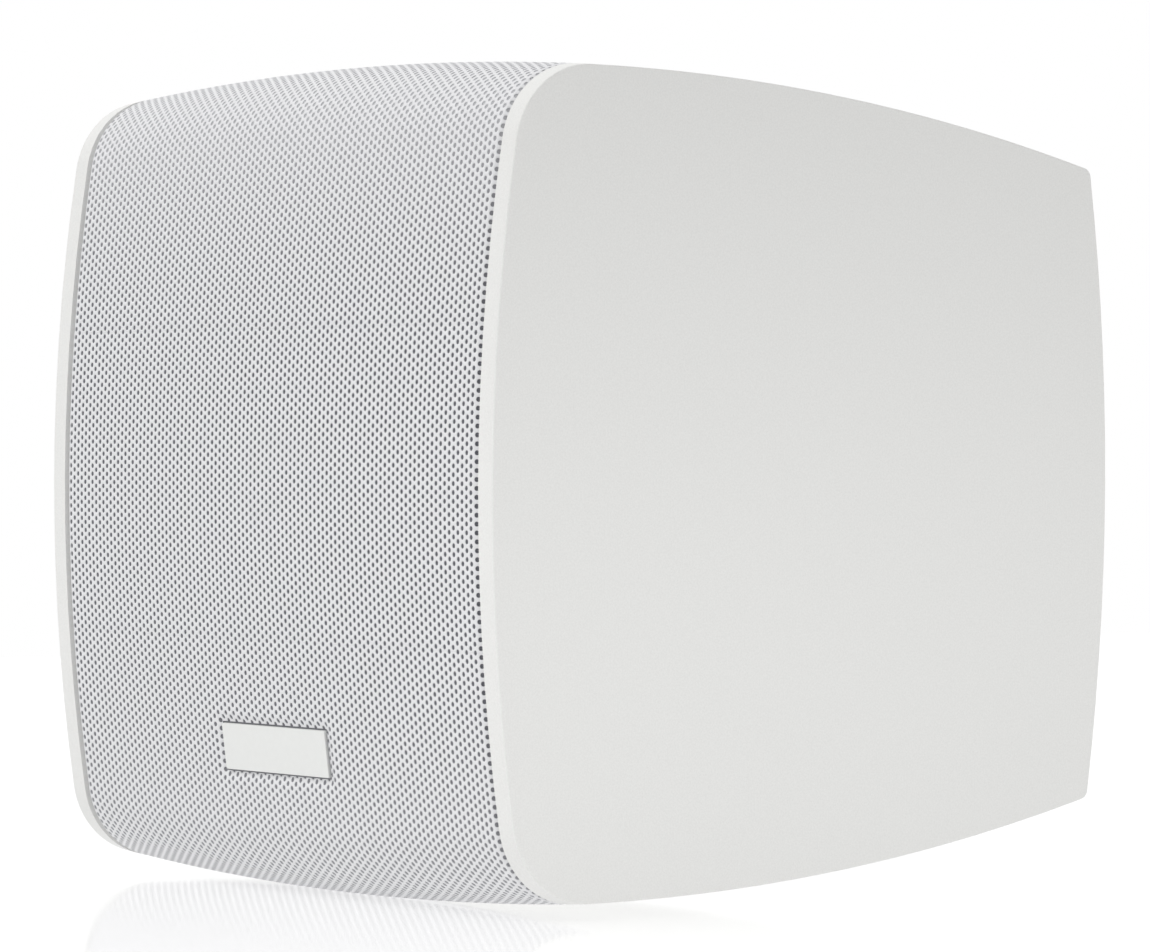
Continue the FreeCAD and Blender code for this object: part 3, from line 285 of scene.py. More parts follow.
# Acoustic cloth, knitted polyester dyed dark and thin: the black baffle behind it keeps its middle dark;
# its top and bottom are painted pale, partly for the white moulding it lies on and partly as painted light
# from above falling into the holes there
ACOUSTIC_CLOTH = Finish("polyester_cloth_dark", "#78797F", "#56575D", 0.95, Grain.WEAVE, 0.6 * MM, 0.1 * MM,
                        sheen=0.2, ends="#D6D6D9")
# ABS moulded black against a fine tool: matt, and nearly even
BLACK_ABS = Finish("abs_moulded_black", "#232325", "#18181A", 0.58, Grain.SPARK, 0.6 * MM, 0.015 * MM)
# Steel pressing with sprayed black paint: satin, with a slight orange peel
BLACK_PAINT = Finish("steel_painted_black", "#202022", "#17171A", 0.42, Grain.SPARK, 1.4 * MM, 0.01 * MM)
# Nitrile rubber moulded smooth: dull, with a soft highlight along the roll
RUBBER = Finish("rubber_moulded_black", "#1D1D1E", "#131314", 0.5, Grain.SPARK, 0.5 * MM, 0.01 * MM, ior=1.52)
# Paper pulp felted on a screen and dyed: dry, with short fibres that show as flecks
CONE_PAPER = Finish("paper_pulp_dyed", "#343437", "#202023", 0.86, Grain.FIBRE, 1.1 * MM, 0.06 * MM,
                    spread=0.05)
# The cap's paper is coated: the same flecks under a slight gloss
CAP_PAPER = Finish("paper_coated_black", "#29292C", "#1E1E20", 0.6, Grain.FIBRE, 1.1 * MM, 0.03 * MM)
# Silk with a tacky coat: the threads show under a soft gloss; drawn twice as coarse as real to show at all
DOME_CLOTH = Finish("silk_coated_black", "#2B2B2F", "#19191C", 0.46, Grain.WEAVE, 0.5 * MM, 0.03 * MM,
                    sheen=0.15)
# Cotton cloth pressed with resin: tan, with an open weave
SPIDER_CLOTH = Finish("cotton_resin_tan", "#B58A4E", "#8A6532", 0.85, Grain.WEAVE, 0.8 * MM, 0.08 * MM,
                      sheen=0.2)
# Closed-cell foam cut from sheet: dull, with small dark cells
FOAM = Finish("foam_cut_black", "#2C2C2E", "#161617", 0.92, Grain.PORES, 0.7 * MM, 0.1 * MM, spread=0.04)
# Steel screws with a black oxide: dark metal with a worn sheen
BLACK_SCREW = Finish("steel_black_oxide", "#3A3A3D", "#262628", 0.42, Grain.SPARK, 0.4 * MM, 0.006 * MM,
                     metallic=1.0)
# Zinc-plated steel: pale grey metal with cloudy patches
ZINC_STEEL = Finish("steel_zinc_plated", "#C2C3C4", "#A2A4A8", 0.34, Grain.SPARK, 4.0 * MM, 0.004 * MM,
                    metallic=1.0)
# Sintered ferrite, ground on its faces: charcoal and slightly gritty
FERRITE = Finish("ferrite_sintered", "#353537", "#242426", 0.66, Grain.SPARK, 0.8 * MM, 0.03 * MM)
# Aluminium foil of the coil's former: bright, with rolling lines
FORMER_FOIL = Finish("aluminium_rolled", "#D0D1D3", "#B4B6B9", 0.28, Grain.LATHE, 0.4 * MM, 0.003 * MM,
                     metallic=1.0)
# Enamelled copper wire: each turn shows as a thin line
COPPER = Finish("copper_enamelled_wire", "#B4683A", "#6E3415", 0.3, Grain.LATHE, 0.5 * MM, 0.08 * MM,
                metallic=1.0)
# Brass turned on a lathe: warm, with fine tool lines
BRASS = Finish("brass_turned", "#CBA65E", "#A98142", 0.28, Grain.LATHE, 0.3 * MM, 0.006 * MM, metallic=1.0)
# Vulcanised fibre sheet: brown and fibrous
TAG_FIBRE = Finish("fibre_sheet_brown", "#7A5433", "#553820", 0.75, Grain.FIBRE, 0.8 * MM, 0.03 * MM)
# Knobs moulded in ABS from polished tools
RED_ABS = Finish("abs_polished_red", "#B5191D", "#9D1317", 0.3, Grain.SPARK, 1.5 * MM, 0.004 * MM)
GLOSS_ABS = Finish("abs_polished_black", "#1B1B1D", "#131315", 0.3, Grain.SPARK, 1.5 * MM, 0.004 * MM)
# Glass cloth in epoxy under a green solder mask: the weave shows faintly
GLASS_EPOXY = Finish("glass_epoxy_green", "#23653A", "#1A4F2C", 0.38, Grain.WEAVE, 0.8 * MM, 0.01 * MM)
# Polyester film wound on itself: glossy amber with faint wraps
FILM_WRAP = Finish("polyester_film_wound", "#C9A23C", "#B18B2C", 0.3, Grain.LATHE, 1.0 * MM, 0.01 * MM)
# Resistor body of cast cement: chalky and pitted
CEMENT = Finish("cement_cast_white", "#DAD8CF", "#BFBDB3", 0.9, Grain.PORES, 1.0 * MM, 0.05 * MM, spread=0.05)
# Wool and polyester felt, needled: matted grey fibres with a soft edge light
FELT = Finish("felt_needled_grey", "#8C8D90", "#5E6064", 0.96, Grain.FIBRE, 1.6 * MM, 0.3 * MM,
              spread=0.03, sheen=0.5)
# PVC sleeve extruded over the wire: smooth, with a soft gloss
LEAD_PVC = Finish("pvc_extruded_black", "#29292B", "#1D1D1F", 0.4, Grain.SPARK, 2.0 * MM, 0.01 * MM)


# Mesh helpers


def copy_of(node: str) -> BMesh:
    """Joined copy of a CAD node's loose triangles.

    Args:
        node: name of the CAD node.

    Returns:
        A new bmesh with its doubles merged.
    """
    bm = bmesh.new()
    bm.from_mesh(frame["nodes"][node].data)
    bmesh.ops.remove_doubles(bm, verts=bm.verts, dist=MERGE_DISTANCE)
    return bm


def as_mesh(name: str, bm: BMesh) -> Mesh:
    """Mesh made from a bmesh, which is freed.

    Args:
        name: name of the mesh.
        bm: its shape.

    Returns:
        The new mesh.
    """
    mesh = bpy.data.meshes.new(name)
    bm.to_mesh(mesh)
    bm.free()
    return mesh


def absorb(bm: BMesh, mesh: Mesh) -> None:
    """Move a mesh into a bmesh."""
    bm.from_mesh(mesh)
    bpy.data.meshes.remove(mesh)


def linked(name: str, data: ID) -> Object:
    """Object in the scene that holds a mesh, a lamp or a camera.

    Args:
        name: name of the object.
        data: what it holds.

    Returns:
        The new object.
    """
    made = bpy.data.objects.new(name, data)
    bpy.context.scene.collection.objects.link(made)
    return made


def discard(*spares: Object) -> None:
    """Remove helper objects and their meshes.

    Args:
        spares: the objects.
    """
    for spare in spares:
        mesh = spare.data
        bpy.data.objects.remove(spare)
        bpy.data.meshes.remove(mesh)


def block(size: Sequence[float], middle: Sequence[float] = (0.0, 0.0, 0.0)) -> BMesh:
    """Box of a size round its middle.

    Args:
        size: lengths along X, Y and Z.
        middle: where the middle lies.

    Returns:
        A new bmesh.
    """
    bm = bmesh.new()
    bmesh.ops.create_cube(bm, size=1.0)
    bmesh.ops.scale(bm, vec=size, verts=bm.verts)
    bmesh.ops.translate(bm, vec=middle, verts=bm.verts)
    return bm


def round_edges(bm: BMesh, edges: list[BMEdge], width: float, segments: int, clamp: bool = False) -> None:
    """Round some edges of a bmesh.

    Args:
        bm: the shape.
        edges: the edges to round.
        width: width of the rounding.
        segments: number of faces across the rounding.
        clamp: whether roundings stop where they would meet.
    """
    bmesh.ops.bevel(bm, geom=edges, offset=width, affect="EDGES", segments=segments, profile=0.5,
                    material=-1, clamp_overlap=clamp)


def axis_at(box: Sequence[Vector], depth: float) -> Vector:
    """Middle of a box as seen from the front, at a depth."""
    low, high = box
    return Vector(((low.x + high.x) / 2, depth, (low.z + high.z) / 2))


def body_of(node: str) -> str:
    """Name of the body that a CAD node rides on."""
    return frame["nodes"][node]["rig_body"]


def add_piece(name: str, bm: BMesh, finishes: Sequence[Finish], node: str,
              smooth_deg: float = 35.0, rides: bool = True) -> Object:
    """Make a finished piece that stands for a CAD node and rides on its body.

    Args:
        name: name of the piece.
        bm: its shape, which is freed.
        finishes: its finishes in the order of the material numbers.
        node: CAD node that the piece replaces.
        smooth_deg: edges sharper than this stay sharp.
        rides: False for a piece that is left on no body.

    Returns:
        The new object.
    """
    bm.normal_update()
    for face in bm.faces:
        face.smooth = True
    for edge in bm.edges:
        edge.smooth = edge.calc_face_angle(0.0) <= math.radians(smooth_deg)
    mesh = as_mesh(name, bm)
    for finish in finishes:
        mesh.materials.append(finish.material())
    piece = linked(name, mesh)
    if rides:
        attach(piece, body_of(node))
    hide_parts(node)
    LOG.info("%s: %d faces", name, len(mesh.polygons))
    return piece


def evaluated(piece: Object) -> Mesh:
    """A piece's mesh with its modifiers applied."""
    graph = bpy.context.evaluated_depsgraph_get()
    return bpy.data.meshes.new_from_object(piece.evaluated_get(graph))


def even_shading(piece: Object) -> None:
    """Let the large faces of a piece set its shading, so that slivers beside them don't show.

    Args:
        piece: the piece.
    """
    even = piece.modifiers.new("even_shading", "WEIGHTED_NORMAL")
    even.mode = "FACE_AREA"
    even.weight = 100
    even.keep_sharp = True


def thicken(piece: Object, thickness: float, rim: int = 0) -> None:
    """Give a sheet its thickness, inwards from its face.

    Args:
        piece: the sheet.
        thickness: how thick it gets.
        rim: how many material numbers after the face's own the cut edges take.
    """
    wall = piece.modifiers.new("thickness", "SOLIDIFY")
    wall.thickness = thickness
    wall.offset = -1.0
    wall.material_offset_rim = rim


def dress(finish: Finish, *nodes: str) -> None:
    """Give a finish to CAD nodes that stay as they are.

    Args:
        finish: the finish.
        nodes: names of the CAD nodes.
    """
    for node in nodes:
        for slot in frame["nodes"][node].material_slots:
            slot.material = finish.material()


# Outline of the front


@dataclass(frozen=True)
class FrontOutline:
    """Bowed front in side view: a long bow, a round corner and the top, crowned across the width.

    Attributes:
        crest: depth of the foremost line of the front.
        middle: height of the middle of the front.
        side_half: half the height of the cabinet at its cheeks.
        half_width: half the width of the cabinet.
        front_bow: radius of the front.
        corner: radius of the corner between the front and the top.
        top_bow: radius of the top from front to back.
        peak: depth of the top's highest line behind the crest.
        crown: rise of the top's middle over its ends.
    """

    crest: float
    middle: float
    side_half: float
    half_width: float
    front_bow: float = 615 * MM
    corner: float = 26 * MM
    top_bow: float = 740 * MM
    peak: float = 32 * MM
    crown: float = 4.8 * MM

    @classmethod
    def of_cabinet(cls) -> "FrontOutline":
        """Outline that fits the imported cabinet.

        Returns:
            The outline, with its sizes read from the frame.
        """
        low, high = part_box("cabinet_shell")
        side_half = (high.z - low.z) / 2 - cls.crown
        return cls(low.y, (low.z + high.z) / 2, side_half, (high.x - low.x) / 2)

    def rise(self, x: float) -> float:
        """How far the top stands over its ends at a station across the width."""
        radius = (self.half_width ** 2 + self.crown ** 2) / (2 * self.crown)
        return self.crown - radius + math.sqrt(radius ** 2 - x ** 2)

    def top_centre(self, x: float) -> Point:
        """Depth and height of the centre of the top's bow."""
        return self.peak, self.side_half + self.rise(x) - self.top_bow

    def corner_centre(self, x: float) -> Point:
        """Depth and height of the corner's centre, tangent inside the front bow and the top bow.

        Args:
            x: station across the width.

        Returns:
            The depth behind the crest and the height over the middle.
        """
        reach_front = self.front_bow - self.corner
        reach_top = self.top_bow - self.corner
        top = self.top_centre(x)
        away = (top[0] - self.front_bow, top[1])
        span = math.hypot(*away)
        along = (reach_front ** 2 - reach_top ** 2 + span ** 2) / (2 * span)
        off = math.sqrt(reach_front ** 2 - along ** 2)
        return (self.front_bow + (away[0] * along + away[1] * off) / span,
                (away[1] * along - away[0] * off) / span)

    def turns(self, x: float) -> tuple[float, float, float, float]:
        """Angles where the corner starts and ends, and the lengths along the outline to those places.

        Args:
            x: station across the width.

        Returns:
            Both angles in radians, then both lengths.
        """
        nose = self.corner_centre(x)
        first = math.asin(nose[1] / (self.front_bow - self.corner))
        last = math.acos((self.peak - nose[0]) / (self.top_bow - self.corner))
        flat = self.front_bow * first
        return first, last, flat, flat + self.corner * (last - first)

    def length_to(self, x: float, depth: float) -> float:
        """Length along the outline from the crest to a depth on the top."""
        _, last, _, bend = self.turns(x)
        return bend + self.top_bow * (math.acos((self.peak - depth) / self.top_bow) - last)

    def spot(self, x: float, s: float, inset: float) -> Vector:
        """Place on the front, or below its surface.

        Args:
            x: station across the width.
            s: length along the outline from the crest, upwards.
            inset: depth below the surface.

        Returns:
            The point in the frame of the model.
        """
        first, last, flat, bend = self.turns(x)
        run = abs(s)
        if run <= flat:
            centre, radius, angle = (self.front_bow, 0.0), self.front_bow, run / self.front_bow
        elif run <= bend:
            centre, radius, angle = self.corner_centre(x), self.corner, first + (run - flat) / self.corner
        else:
            centre, radius, angle = self.top_centre(x), self.top_bow, last + (run - bend) / self.top_bow
        depth = centre[0] - (radius - inset) * math.cos(angle)
        height = centre[1] + (radius - inset) * math.sin(angle)
        return Vector((x, self.crest + depth, self.middle + math.copysign(height, s)))


# Grille


@dataclass
class Grille:
    """Perforated sheet bent over the top and bottom, the cloth behind it and the bare badge.

    Attributes:
        outline: the front that the sheet follows.
        pitch: distance between neighbouring holes.
        hole: diameter of a hole.
        hole_sides: sides of the polygon that draws a hole.
        columns_across: columns of holes across the sheet, an even number.
        side_rows: rows of holes above and below the middle one.
        bands: pieces that the sheet is made in, from the bottom up.
        sheet: thickness of the steel.
        half_width: half the width of the sheet over its folds.
        fold: outer radius of the fold along each side.
        fold_shares: places of the edges round the fold, as shares of its quarter turn.
        flange: depth of the folded flange behind the fold.
        flange_reach: length along the outline up to which the flange is deep.
        back: depth at which the sheet ends on the top and bottom.
        cloth_inset: depth of the cloth's face below the sheet's face.
        cloth: thickness of the cloth.
        cloth_half: half the width of the cloth, measured over the face of the sheet.
        cloth_cells: number of faces across and along the cloth.
        cloth_fade: power by which the cloth is painted pale towards its ends, partly as painted light.
        low_fade: share of that at the lower end, which lies in the shade.
        badge_half: half the width and half the height of the badge.
        badge_height: height of the badge's middle over the middle of the front.
        badge_gap: clearance round the badge.
        badge_proud: how far the badge's face stands over the sheet; below zero it lies deeper.
        badge_back: depth of the badge's back below the sheet's face.
        badge_corner: rounding of the badge's corners.
        badge_edge: rounding of the edges of its face.
        dish: how far the sheet is pressed in at the badge.
        dish_reach: width of the pressed border round the badge.
    """

    outline: FrontOutline
    pitch: float = 2.5 * MM
    hole: float = 1.46 * MM
    hole_sides: int = 8
    columns_across: int = 104
    side_rows: int = 55
    bands: int = 3
    sheet: float = 0.38 * MM
    half_width: float = 112.7 * MM
    fold: float = 3.2 * MM
    fold_shares: tuple[float, ...] = (0.72, 0.86, 1.0)
    flange: float = 4.5 * MM
    flange_reach: float = 96 * MM
    back: float = 40 * MM
    cloth_inset: float = 0.5 * MM
    cloth: float = 0.3 * MM
    cloth_half: float = 112.2 * MM
    cloth_cells: tuple[int, int] = (24, 96)
    cloth_fade: float = 3.5
    low_fade: float = 0.45
    badge_half: Point = (28 * MM, 7 * MM)
    badge_height: float = -80 * MM
    badge_gap: float = 0.5 * MM
    badge_proud: float = -0.2 * MM
    badge_back: float = 1.9 * MM
    badge_corner: float = 0.6 * MM
    badge_edge: float = 0.2 * MM
    dish: float = 0.9 * MM
    dish_reach: float = 3.0 * MM

    @property
    def column_step(self) -> float:
        """Distance between columns of the staggered holes."""
        return self.pitch * math.sqrt(3) / 2

    @property
    def badge_run(self) -> float:
        """Length along the outline from the crest to the badge's middle."""
        return self.outline.front_bow * math.asin(self.badge_height / self.outline.front_bow)

    def cell(self) -> BMesh:
        """Flat rectangle of sheet with one hole in it, centred on the origin.

        Returns:
            A new bmesh.
        """
        bm = bmesh.new()
        bmesh.ops.create_grid(bm, x_segments=1, y_segments=2, size=0.5)
        bmesh.ops.scale(bm, vec=(self.column_step, self.pitch, 1.0), verts=bm.verts)
        bmesh.ops.delete(bm, geom=bm.faces[:], context="FACES_ONLY")
        middle = [e for e in bm.edges if all(abs(v.co.y) < MERGE_DISTANCE for v in e.verts)]
        bmesh.ops.delete(bm, geom=middle, context="EDGES")
        turn = 2 * math.pi / self.hole_sides
        even_area = math.sqrt(turn / math.sin(turn))
        bmesh.ops.create_circle(bm, segments=self.hole_sides, radius=self.hole / 2 * even_area)
        bmesh.ops.triangle_fill(bm, use_beauty=True, edges=bm.edges[:])
        up = sum(f.normal.z * f.calc_area() for f in bm.faces)
        if up < 0:
            bmesh.ops.reverse_faces(bm, faces=bm.faces[:])
        return bm

    def columns(self, first: Point, counts: tuple[int, int]) -> Mesh:
        """Every second column of cells, as rows and columns of copies.

        Args:
            first: place of the first cell.
            counts: number of columns and of rows.

        Returns:
            A flat mesh.
        """
        bm = self.cell()
        bmesh.ops.translate(bm, vec=(*first, 0.0), verts=bm.verts)
        holder = linked("cells", as_mesh("cells", bm))
        for count, step in zip(counts, ((2 * self.column_step, 0, 0), (0, self.pitch, 0))):
            copies = holder.modifiers.new("copies", "ARRAY")
            copies.count = count
            copies.use_relative_offset = False
            copies.use_constant_offset = True
            copies.constant_offset_displace = step
        flat = evaluated(holder)
        discard(holder)
        return flat

    def flat_band(self, band: int) -> BMesh:
        """One band of the sheet laid flat: X across the width, Y along the outline.

        Args:
            band: number of the band from the bottom.

        Returns:
            A flat bmesh, with plain margins where the band meets the sheet's ends and sides.
        """
        whole = 2 * self.side_rows + 1
        rows = whole // self.bands
        start = band * rows - self.side_rows
        top = band == self.bands - 1
        if top:
            rows = whole - band * rows
        pairs = self.columns_across // 2
        first = (0.5 - pairs) * self.column_step
        bm = bmesh.new()
        for place, count in (((first, start * self.pitch), rows),
                             ((first + self.column_step, (start - 0.5) * self.pitch), rows + top)):
            absorb(bm, self.columns(place, (pairs, count)))
        bmesh.ops.remove_doubles(bm, verts=bm.verts, dist=MERGE_DISTANCE)
        end = (self.side_rows + 1) * self.pitch
        for side, there in ((-1, band == 0), (1, top)):
            if there:
                self.extend(bm, 1, side * (end - self.pitch / 2), [side * end])
                bmesh.ops.remove_doubles(bm, verts=bm.verts, dist=MERGE_DISTANCE)
                self.extend(bm, 1, side * end, [side * (end + self.pitch)])
        edge = pairs * self.column_step
        quarter = self.fold * math.pi / 2
        stations = [self.half_width - self.fold + quarter * share for share in self.fold_shares]
        stations.append(stations[-1] + self.flange)
        for side in (-1, 1):
            self.extend(bm, 0, side * edge, [side * station for station in stations])
        return bm

    def extend(self, bm: BMesh, axis: int, border: float, stations: Iterable[float]) -> None:
        """Extrude the open edges on a straight border to further places.

        Args:
            bm: the flat sheet.
            axis: 0 for a border across X, 1 for one across Y.
            border: where the open edges lie.
            stations: where the new edges go, in order.
        """
        edges = [e for e in bm.edges if e.is_boundary
                 and all(abs(v.co[axis] - border) < 10 * MERGE_DISTANCE for v in e.verts)]
        for station in stations:
            made = bmesh.ops.extrude_edge_only(bm, edges=edges)["geom"]
            edges = [g for g in made if isinstance(g, BMEdge) and g.is_boundary]
            for v in {v for e in edges for v in e.verts}:
                v.co[axis] = station

    def cut_window(self, bm: BMesh) -> None:
        """Cut the badge's window out of the flat sheet, straight through the holes that it meets.

        Args:
            bm: the flat sheet.
        """
        half = [size + self.badge_gap for size in self.badge_half]
        near = [size + 2 * self.pitch for size in half]
        middle = Vector((0.0, self.badge_run, 0.0))

        def within(reach: Sequence[float]) -> list[BMFace]:
            """Faces whose middle lies within a reach of the badge's middle."""
            return [f for f in bm.faces
                    if all(abs((f.calc_center_median() - middle)[i]) < reach[i] for i in (0, 1))]

        for axis, side in ((0, -1), (0, 1), (1, -1), (1, 1)):
            faces = within(near)
            edges = {e for f in faces for e in f.edges}
            verts = {v for f in faces for v in f.verts}
            normal = Vector((side if axis == 0 else 0.0, side if axis == 1 else 0.0, 0.0))
            bmesh.ops.bisect_plane(bm, geom=[*faces, *edges, *verts], dist=MERGE_DISTANCE,
                                   plane_co=middle + normal * half[axis], plane_no=normal)
        bmesh.ops.delete(bm, geom=within(half), context="FACES")

    def pressed(self, u: float, s: float) -> float:
        """Depth of the pressed border round the badge at a place on the flat sheet.

        Args:
            u: length across the sheet from its middle.
            s: length along the outline from the crest.

        Returns:
            How far the sheet is pressed in there.
        """
        off = [max(abs(c) - size - self.badge_gap, 0.0)
               for c, size in zip((u, s - self.badge_run), self.badge_half)]
        share = max(1.0 - math.hypot(*off) / self.dish_reach, 0.0)
        return self.dish * share * share * (3 - 2 * share)

    def rolled(self, u: float, below: float = 0.0) -> Point:
        """Bend a place on the flat sheet round the folded sides.

        Args:
            u: length across the sheet from its middle.
            below: depth under the sheet's face.

        Returns:
            The station across the width and the depth below the front.
        """
        start = self.half_width - self.fold
        angle = min(max(abs(u) - start, 0.0) / self.fold, math.pi / 2)
        radius = self.fold - below
        x = min(abs(u), start) + radius * math.sin(angle)
        return math.copysign(x, u), self.fold - radius * math.cos(angle)

    def fold_spot(self, u: float, s: float) -> Vector:
        """Place on the bent sheet of a point on the flat one.

        Args:
            u: length across the sheet from its middle.
            s: length along the outline from the crest.

        Returns:
            The point in the frame of the model.
        """
        end = (self.side_rows + 1) * self.pitch
        x, inset = self.rolled(u)
        past = abs(u) - self.half_width - self.fold * (math.pi / 2 - 1)
        if past > 0 and abs(s) < self.flange_reach:
            inset += past
        if abs(s) > end + MERGE_DISTANCE:
            s = math.copysign(self.outline.length_to(x, self.back), s)
        return self.outline.spot(x, s, inset + self.pressed(u, s))

    def build_sheet(self) -> None:
        """Bend the perforated bands round the front and give them their thickness."""
        for band in range(self.bands):
            bm = self.flat_band(band)
            if band == 0:
                self.cut_window(bm)
            for v in bm.verts:
                v.co = self.fold_spot(v.co.x, v.co.y)
            piece = add_piece(f"grille_sheet_{band + 1}", bm, [POWDER_COAT, THIN_COAT_AND_SHADE], "grille")
            # The cut edges and hole walls take the second finish: painted shade in the holes, partly the real
            # thin coat
            thicken(piece, self.sheet, rim=1)

    def build_cloth(self) -> None:
        """Stretch the cloth behind the sheet, round its folds and into the pressed border of the badge."""
        start, end = self.half_width - self.fold, self.back - self.sheet
        reach = self.outline.length_to(0.0, end)
        bm = bmesh.new()
        across, along = self.cloth_cells
        bmesh.ops.create_grid(bm, x_segments=across, y_segments=along, size=1.0)
        bmesh.ops.scale(bm, vec=(self.cloth_half, reach, 1.0), verts=bm.verts)
        for side in (-1, 1):
            lines = [(0, side * start), (0, side * (start + self.cloth_half) / 2)]
            for gap in (self.badge_gap, self.badge_gap + self.dish_reach):
                lines.append((0, side * (self.badge_half[0] + gap)))
                lines.append((1, self.badge_run + side * (self.badge_half[1] + gap)))
            for axis, place in lines:
                normal = Vector((1 - axis, axis, 0.0))
                bmesh.ops.bisect_plane(bm, geom=[*bm.verts, *bm.edges, *bm.faces], dist=MERGE_DISTANCE,
                                       plane_co=normal * place, plane_no=normal)
        # Painted light: an "ends" share towards the top, weaker towards the shaded bottom, paints the cloth
        # pale there
        ends = bm.verts.layers.float.new("ends")
        for v in bm.verts:
            u, s = v.co.x, v.co.y
            x, inset = self.rolled(u, self.cloth_inset)
            share = self.outline.length_to(x, end) / reach
            v.co = self.outline.spot(x, s * share, inset + self.pressed(u, s))
            height = (v.co.z - self.outline.middle) / self.outline.side_half
            v[ends] = min(abs(height), 1.0) ** self.cloth_fade * (1.0 if height > 0.0 else self.low_fade)
        bmesh.ops.recalc_face_normals(bm, faces=bm.faces)
        piece = add_piece("acoustic_cloth", bm, [ACOUSTIC_CLOTH], "grille_cloth")
        thicken(piece, self.cloth)
        length = 2 * self.outline.length_to(start, end)

    def build_badge(self) -> None:
        """Bare plate with soft edges in the window of the sheet."""
        depth = self.badge_proud + self.badge_back
        middle = depth / 2 - self.badge_proud
        bm = block((2 * self.badge_half[0], depth, 2 * self.badge_half[1]), (0.0, middle, 0.0))
        inwards = [e for e in bm.edges if abs(e.verts[0].co.y - e.verts[1].co.y) > depth / 2]
        round_edges(bm, inwards, self.badge_corner, segments=4)
        rim = [e for e in bm.edges if all(v.co.y < middle for v in e.verts)]
        round_edges(bm, rim, self.badge_edge, segments=3)
        tilt = math.asin(self.badge_height / self.outline.front_bow)
        spot = self.outline.spot(0.0, self.badge_run, 0.0)
        move = Matrix.Translation(spot) @ Matrix.Rotation(-tilt, 4, "X")
        bmesh.ops.transform(bm, matrix=move, verts=bm.verts)
        even_shading(add_piece("badge_face", bm, [BADGE_ABS], "badge_plate"))

    def build(self) -> None:
        """Make every piece of the grille."""
        self.build_sheet()
        self.build_cloth()
        self.build_badge()


# Cabinet


@dataclass
class Cabinet:
    """White moulding with both cheeks, top, bottom and back.

    Attributes:
        smooth_deg: edges sharper than this stay crisp.
    """

    smooth_deg: float = 28.0

    def build(self) -> None:
        """Dress a joined copy of the moulding."""
        bm = copy_of("cabinet_shell")
        even_shading(add_piece("cabinet_moulding", bm, [CABINET_ABS], "cabinet_shell", self.smooth_deg))


# Turned and fastened pieces


def arc(centre: Point, radius: float, start: float, end: float, steps: int = 12) -> list[Point]:
    """Points along a round stretch of an outline.

    Args:
        centre: radius and depth of the arc's centre.
        radius: the arc's own radius.
        start: first angle in degrees, from the outward radius towards the back.
        end: last angle in degrees.
        steps: number of runs along the arc.

    Returns:
        Radius and depth of each point.
    """
    turns = [math.radians(start + (end - start) * i / steps) for i in range(steps + 1)]
    return [(centre[0] + radius * math.cos(t), centre[1] + radius * math.sin(t)) for t in turns]


def cap(base: float, rise: float, depth: float, steps: int = 16) -> list[Point]:
    """Points along a round cap from its tip on the axis to its rim.

    Args:
        base: radius of the rim.
        rise: how far the tip stands in front of the rim.
        depth: depth of the rim.
        steps: number of runs along the cap.

    Returns:
        Radius and depth of each point.
    """
    ball = (base ** 2 + rise ** 2) / (2 * rise)
    half = math.degrees(math.asin(base / ball))
    points = arc((0.0, depth - rise + ball), ball, -90.0, half - 90.0, steps)
    return [(0.0, depth - rise), *points[1:]]


def half_roll(lips: Point, roll: float, outer: float, back: float, thick: float) -> list[Point]:
    """Outline of a soft ring: a roll that bulges forwards between two flat lips.

    Args:
        lips: widths of the outer and the inner lip.
        roll: outer radius of the roll.
        outer: radius where the outer lip meets the roll.
        back: depth of the back of the lips.
        thick: thickness of the ring.

    Returns:
        Radius and depth of each point of the closed outline.
    """
    front, middle, inner, hollow = back - thick, outer - roll, outer - 2 * roll, roll - thick
    tip = front - hollow
    centre = (hollow ** 2 + back ** 2 - tip ** 2) / (2 * (back - tip))
    lean = math.degrees(math.asin((back - centre) / (centre - tip)))
    return [(outer + lips[0], back), (outer + lips[0], front), *arc((middle, front), roll, 0.0, -180.0),
            (inner - lips[1], front), (inner - lips[1], back),
            *arc((middle, centre), centre - tip, -180.0 - lean, lean)]


def walled(line: Sequence[Point], thick: float) -> list[Point]:
    """Outline of a shell: its front line, and the same line further back the other way round."""
    return [*line, *[(radius, depth + thick) for radius, depth in reversed(line)]]


def turned(outline: Sequence[Point], place: Vector, closed: bool = True, steps: int = 96,
           turns: Point | None = None) -> BMesh:
    """Turn an outline about an axis that runs from front to back.

    Args:
        outline: radius and depth of each point.
        place: where the axis crosses depth zero.
        closed: whether the last point joins the first; an open outline starts and ends on the axis.
        steps: number of faces along the turn.
        turns: first and last angle, in radians, of a part turn, whose two ends are closed.

    Returns:
        A closed bmesh.
    """
    start, end = turns or (0.0, 2 * math.pi)
    bm = bmesh.new()
    line = [bm.verts.new((radius, depth, 0.0)) for radius, depth in outline]
    nexts = line[1:] + line[:1] if closed else line[1:]
    edges = [bm.edges.new(pair) for pair in zip(line, nexts)]
    bmesh.ops.rotate(bm, cent=(0, 0, 0), matrix=Matrix.Rotation(start, 3, "Y"), verts=bm.verts)
    bmesh.ops.spin(bm, geom=[*line, *edges], cent=(0, 0, 0), axis=(0, 1, 0), dvec=(0, 0, 0),
                   angle=end - start, steps=steps, use_merge=turns is None, use_duplicate=False)
    if turns:
        bmesh.ops.holes_fill(bm, edges=[e for e in bm.edges if e.is_boundary], sides=0)
    else:
        bmesh.ops.remove_doubles(bm, verts=bm.verts, dist=MERGE_DISTANCE)
    bmesh.ops.recalc_face_normals(bm, faces=bm.faces)
    bmesh.ops.translate(bm, vec=place, verts=bm.verts)
    return bm


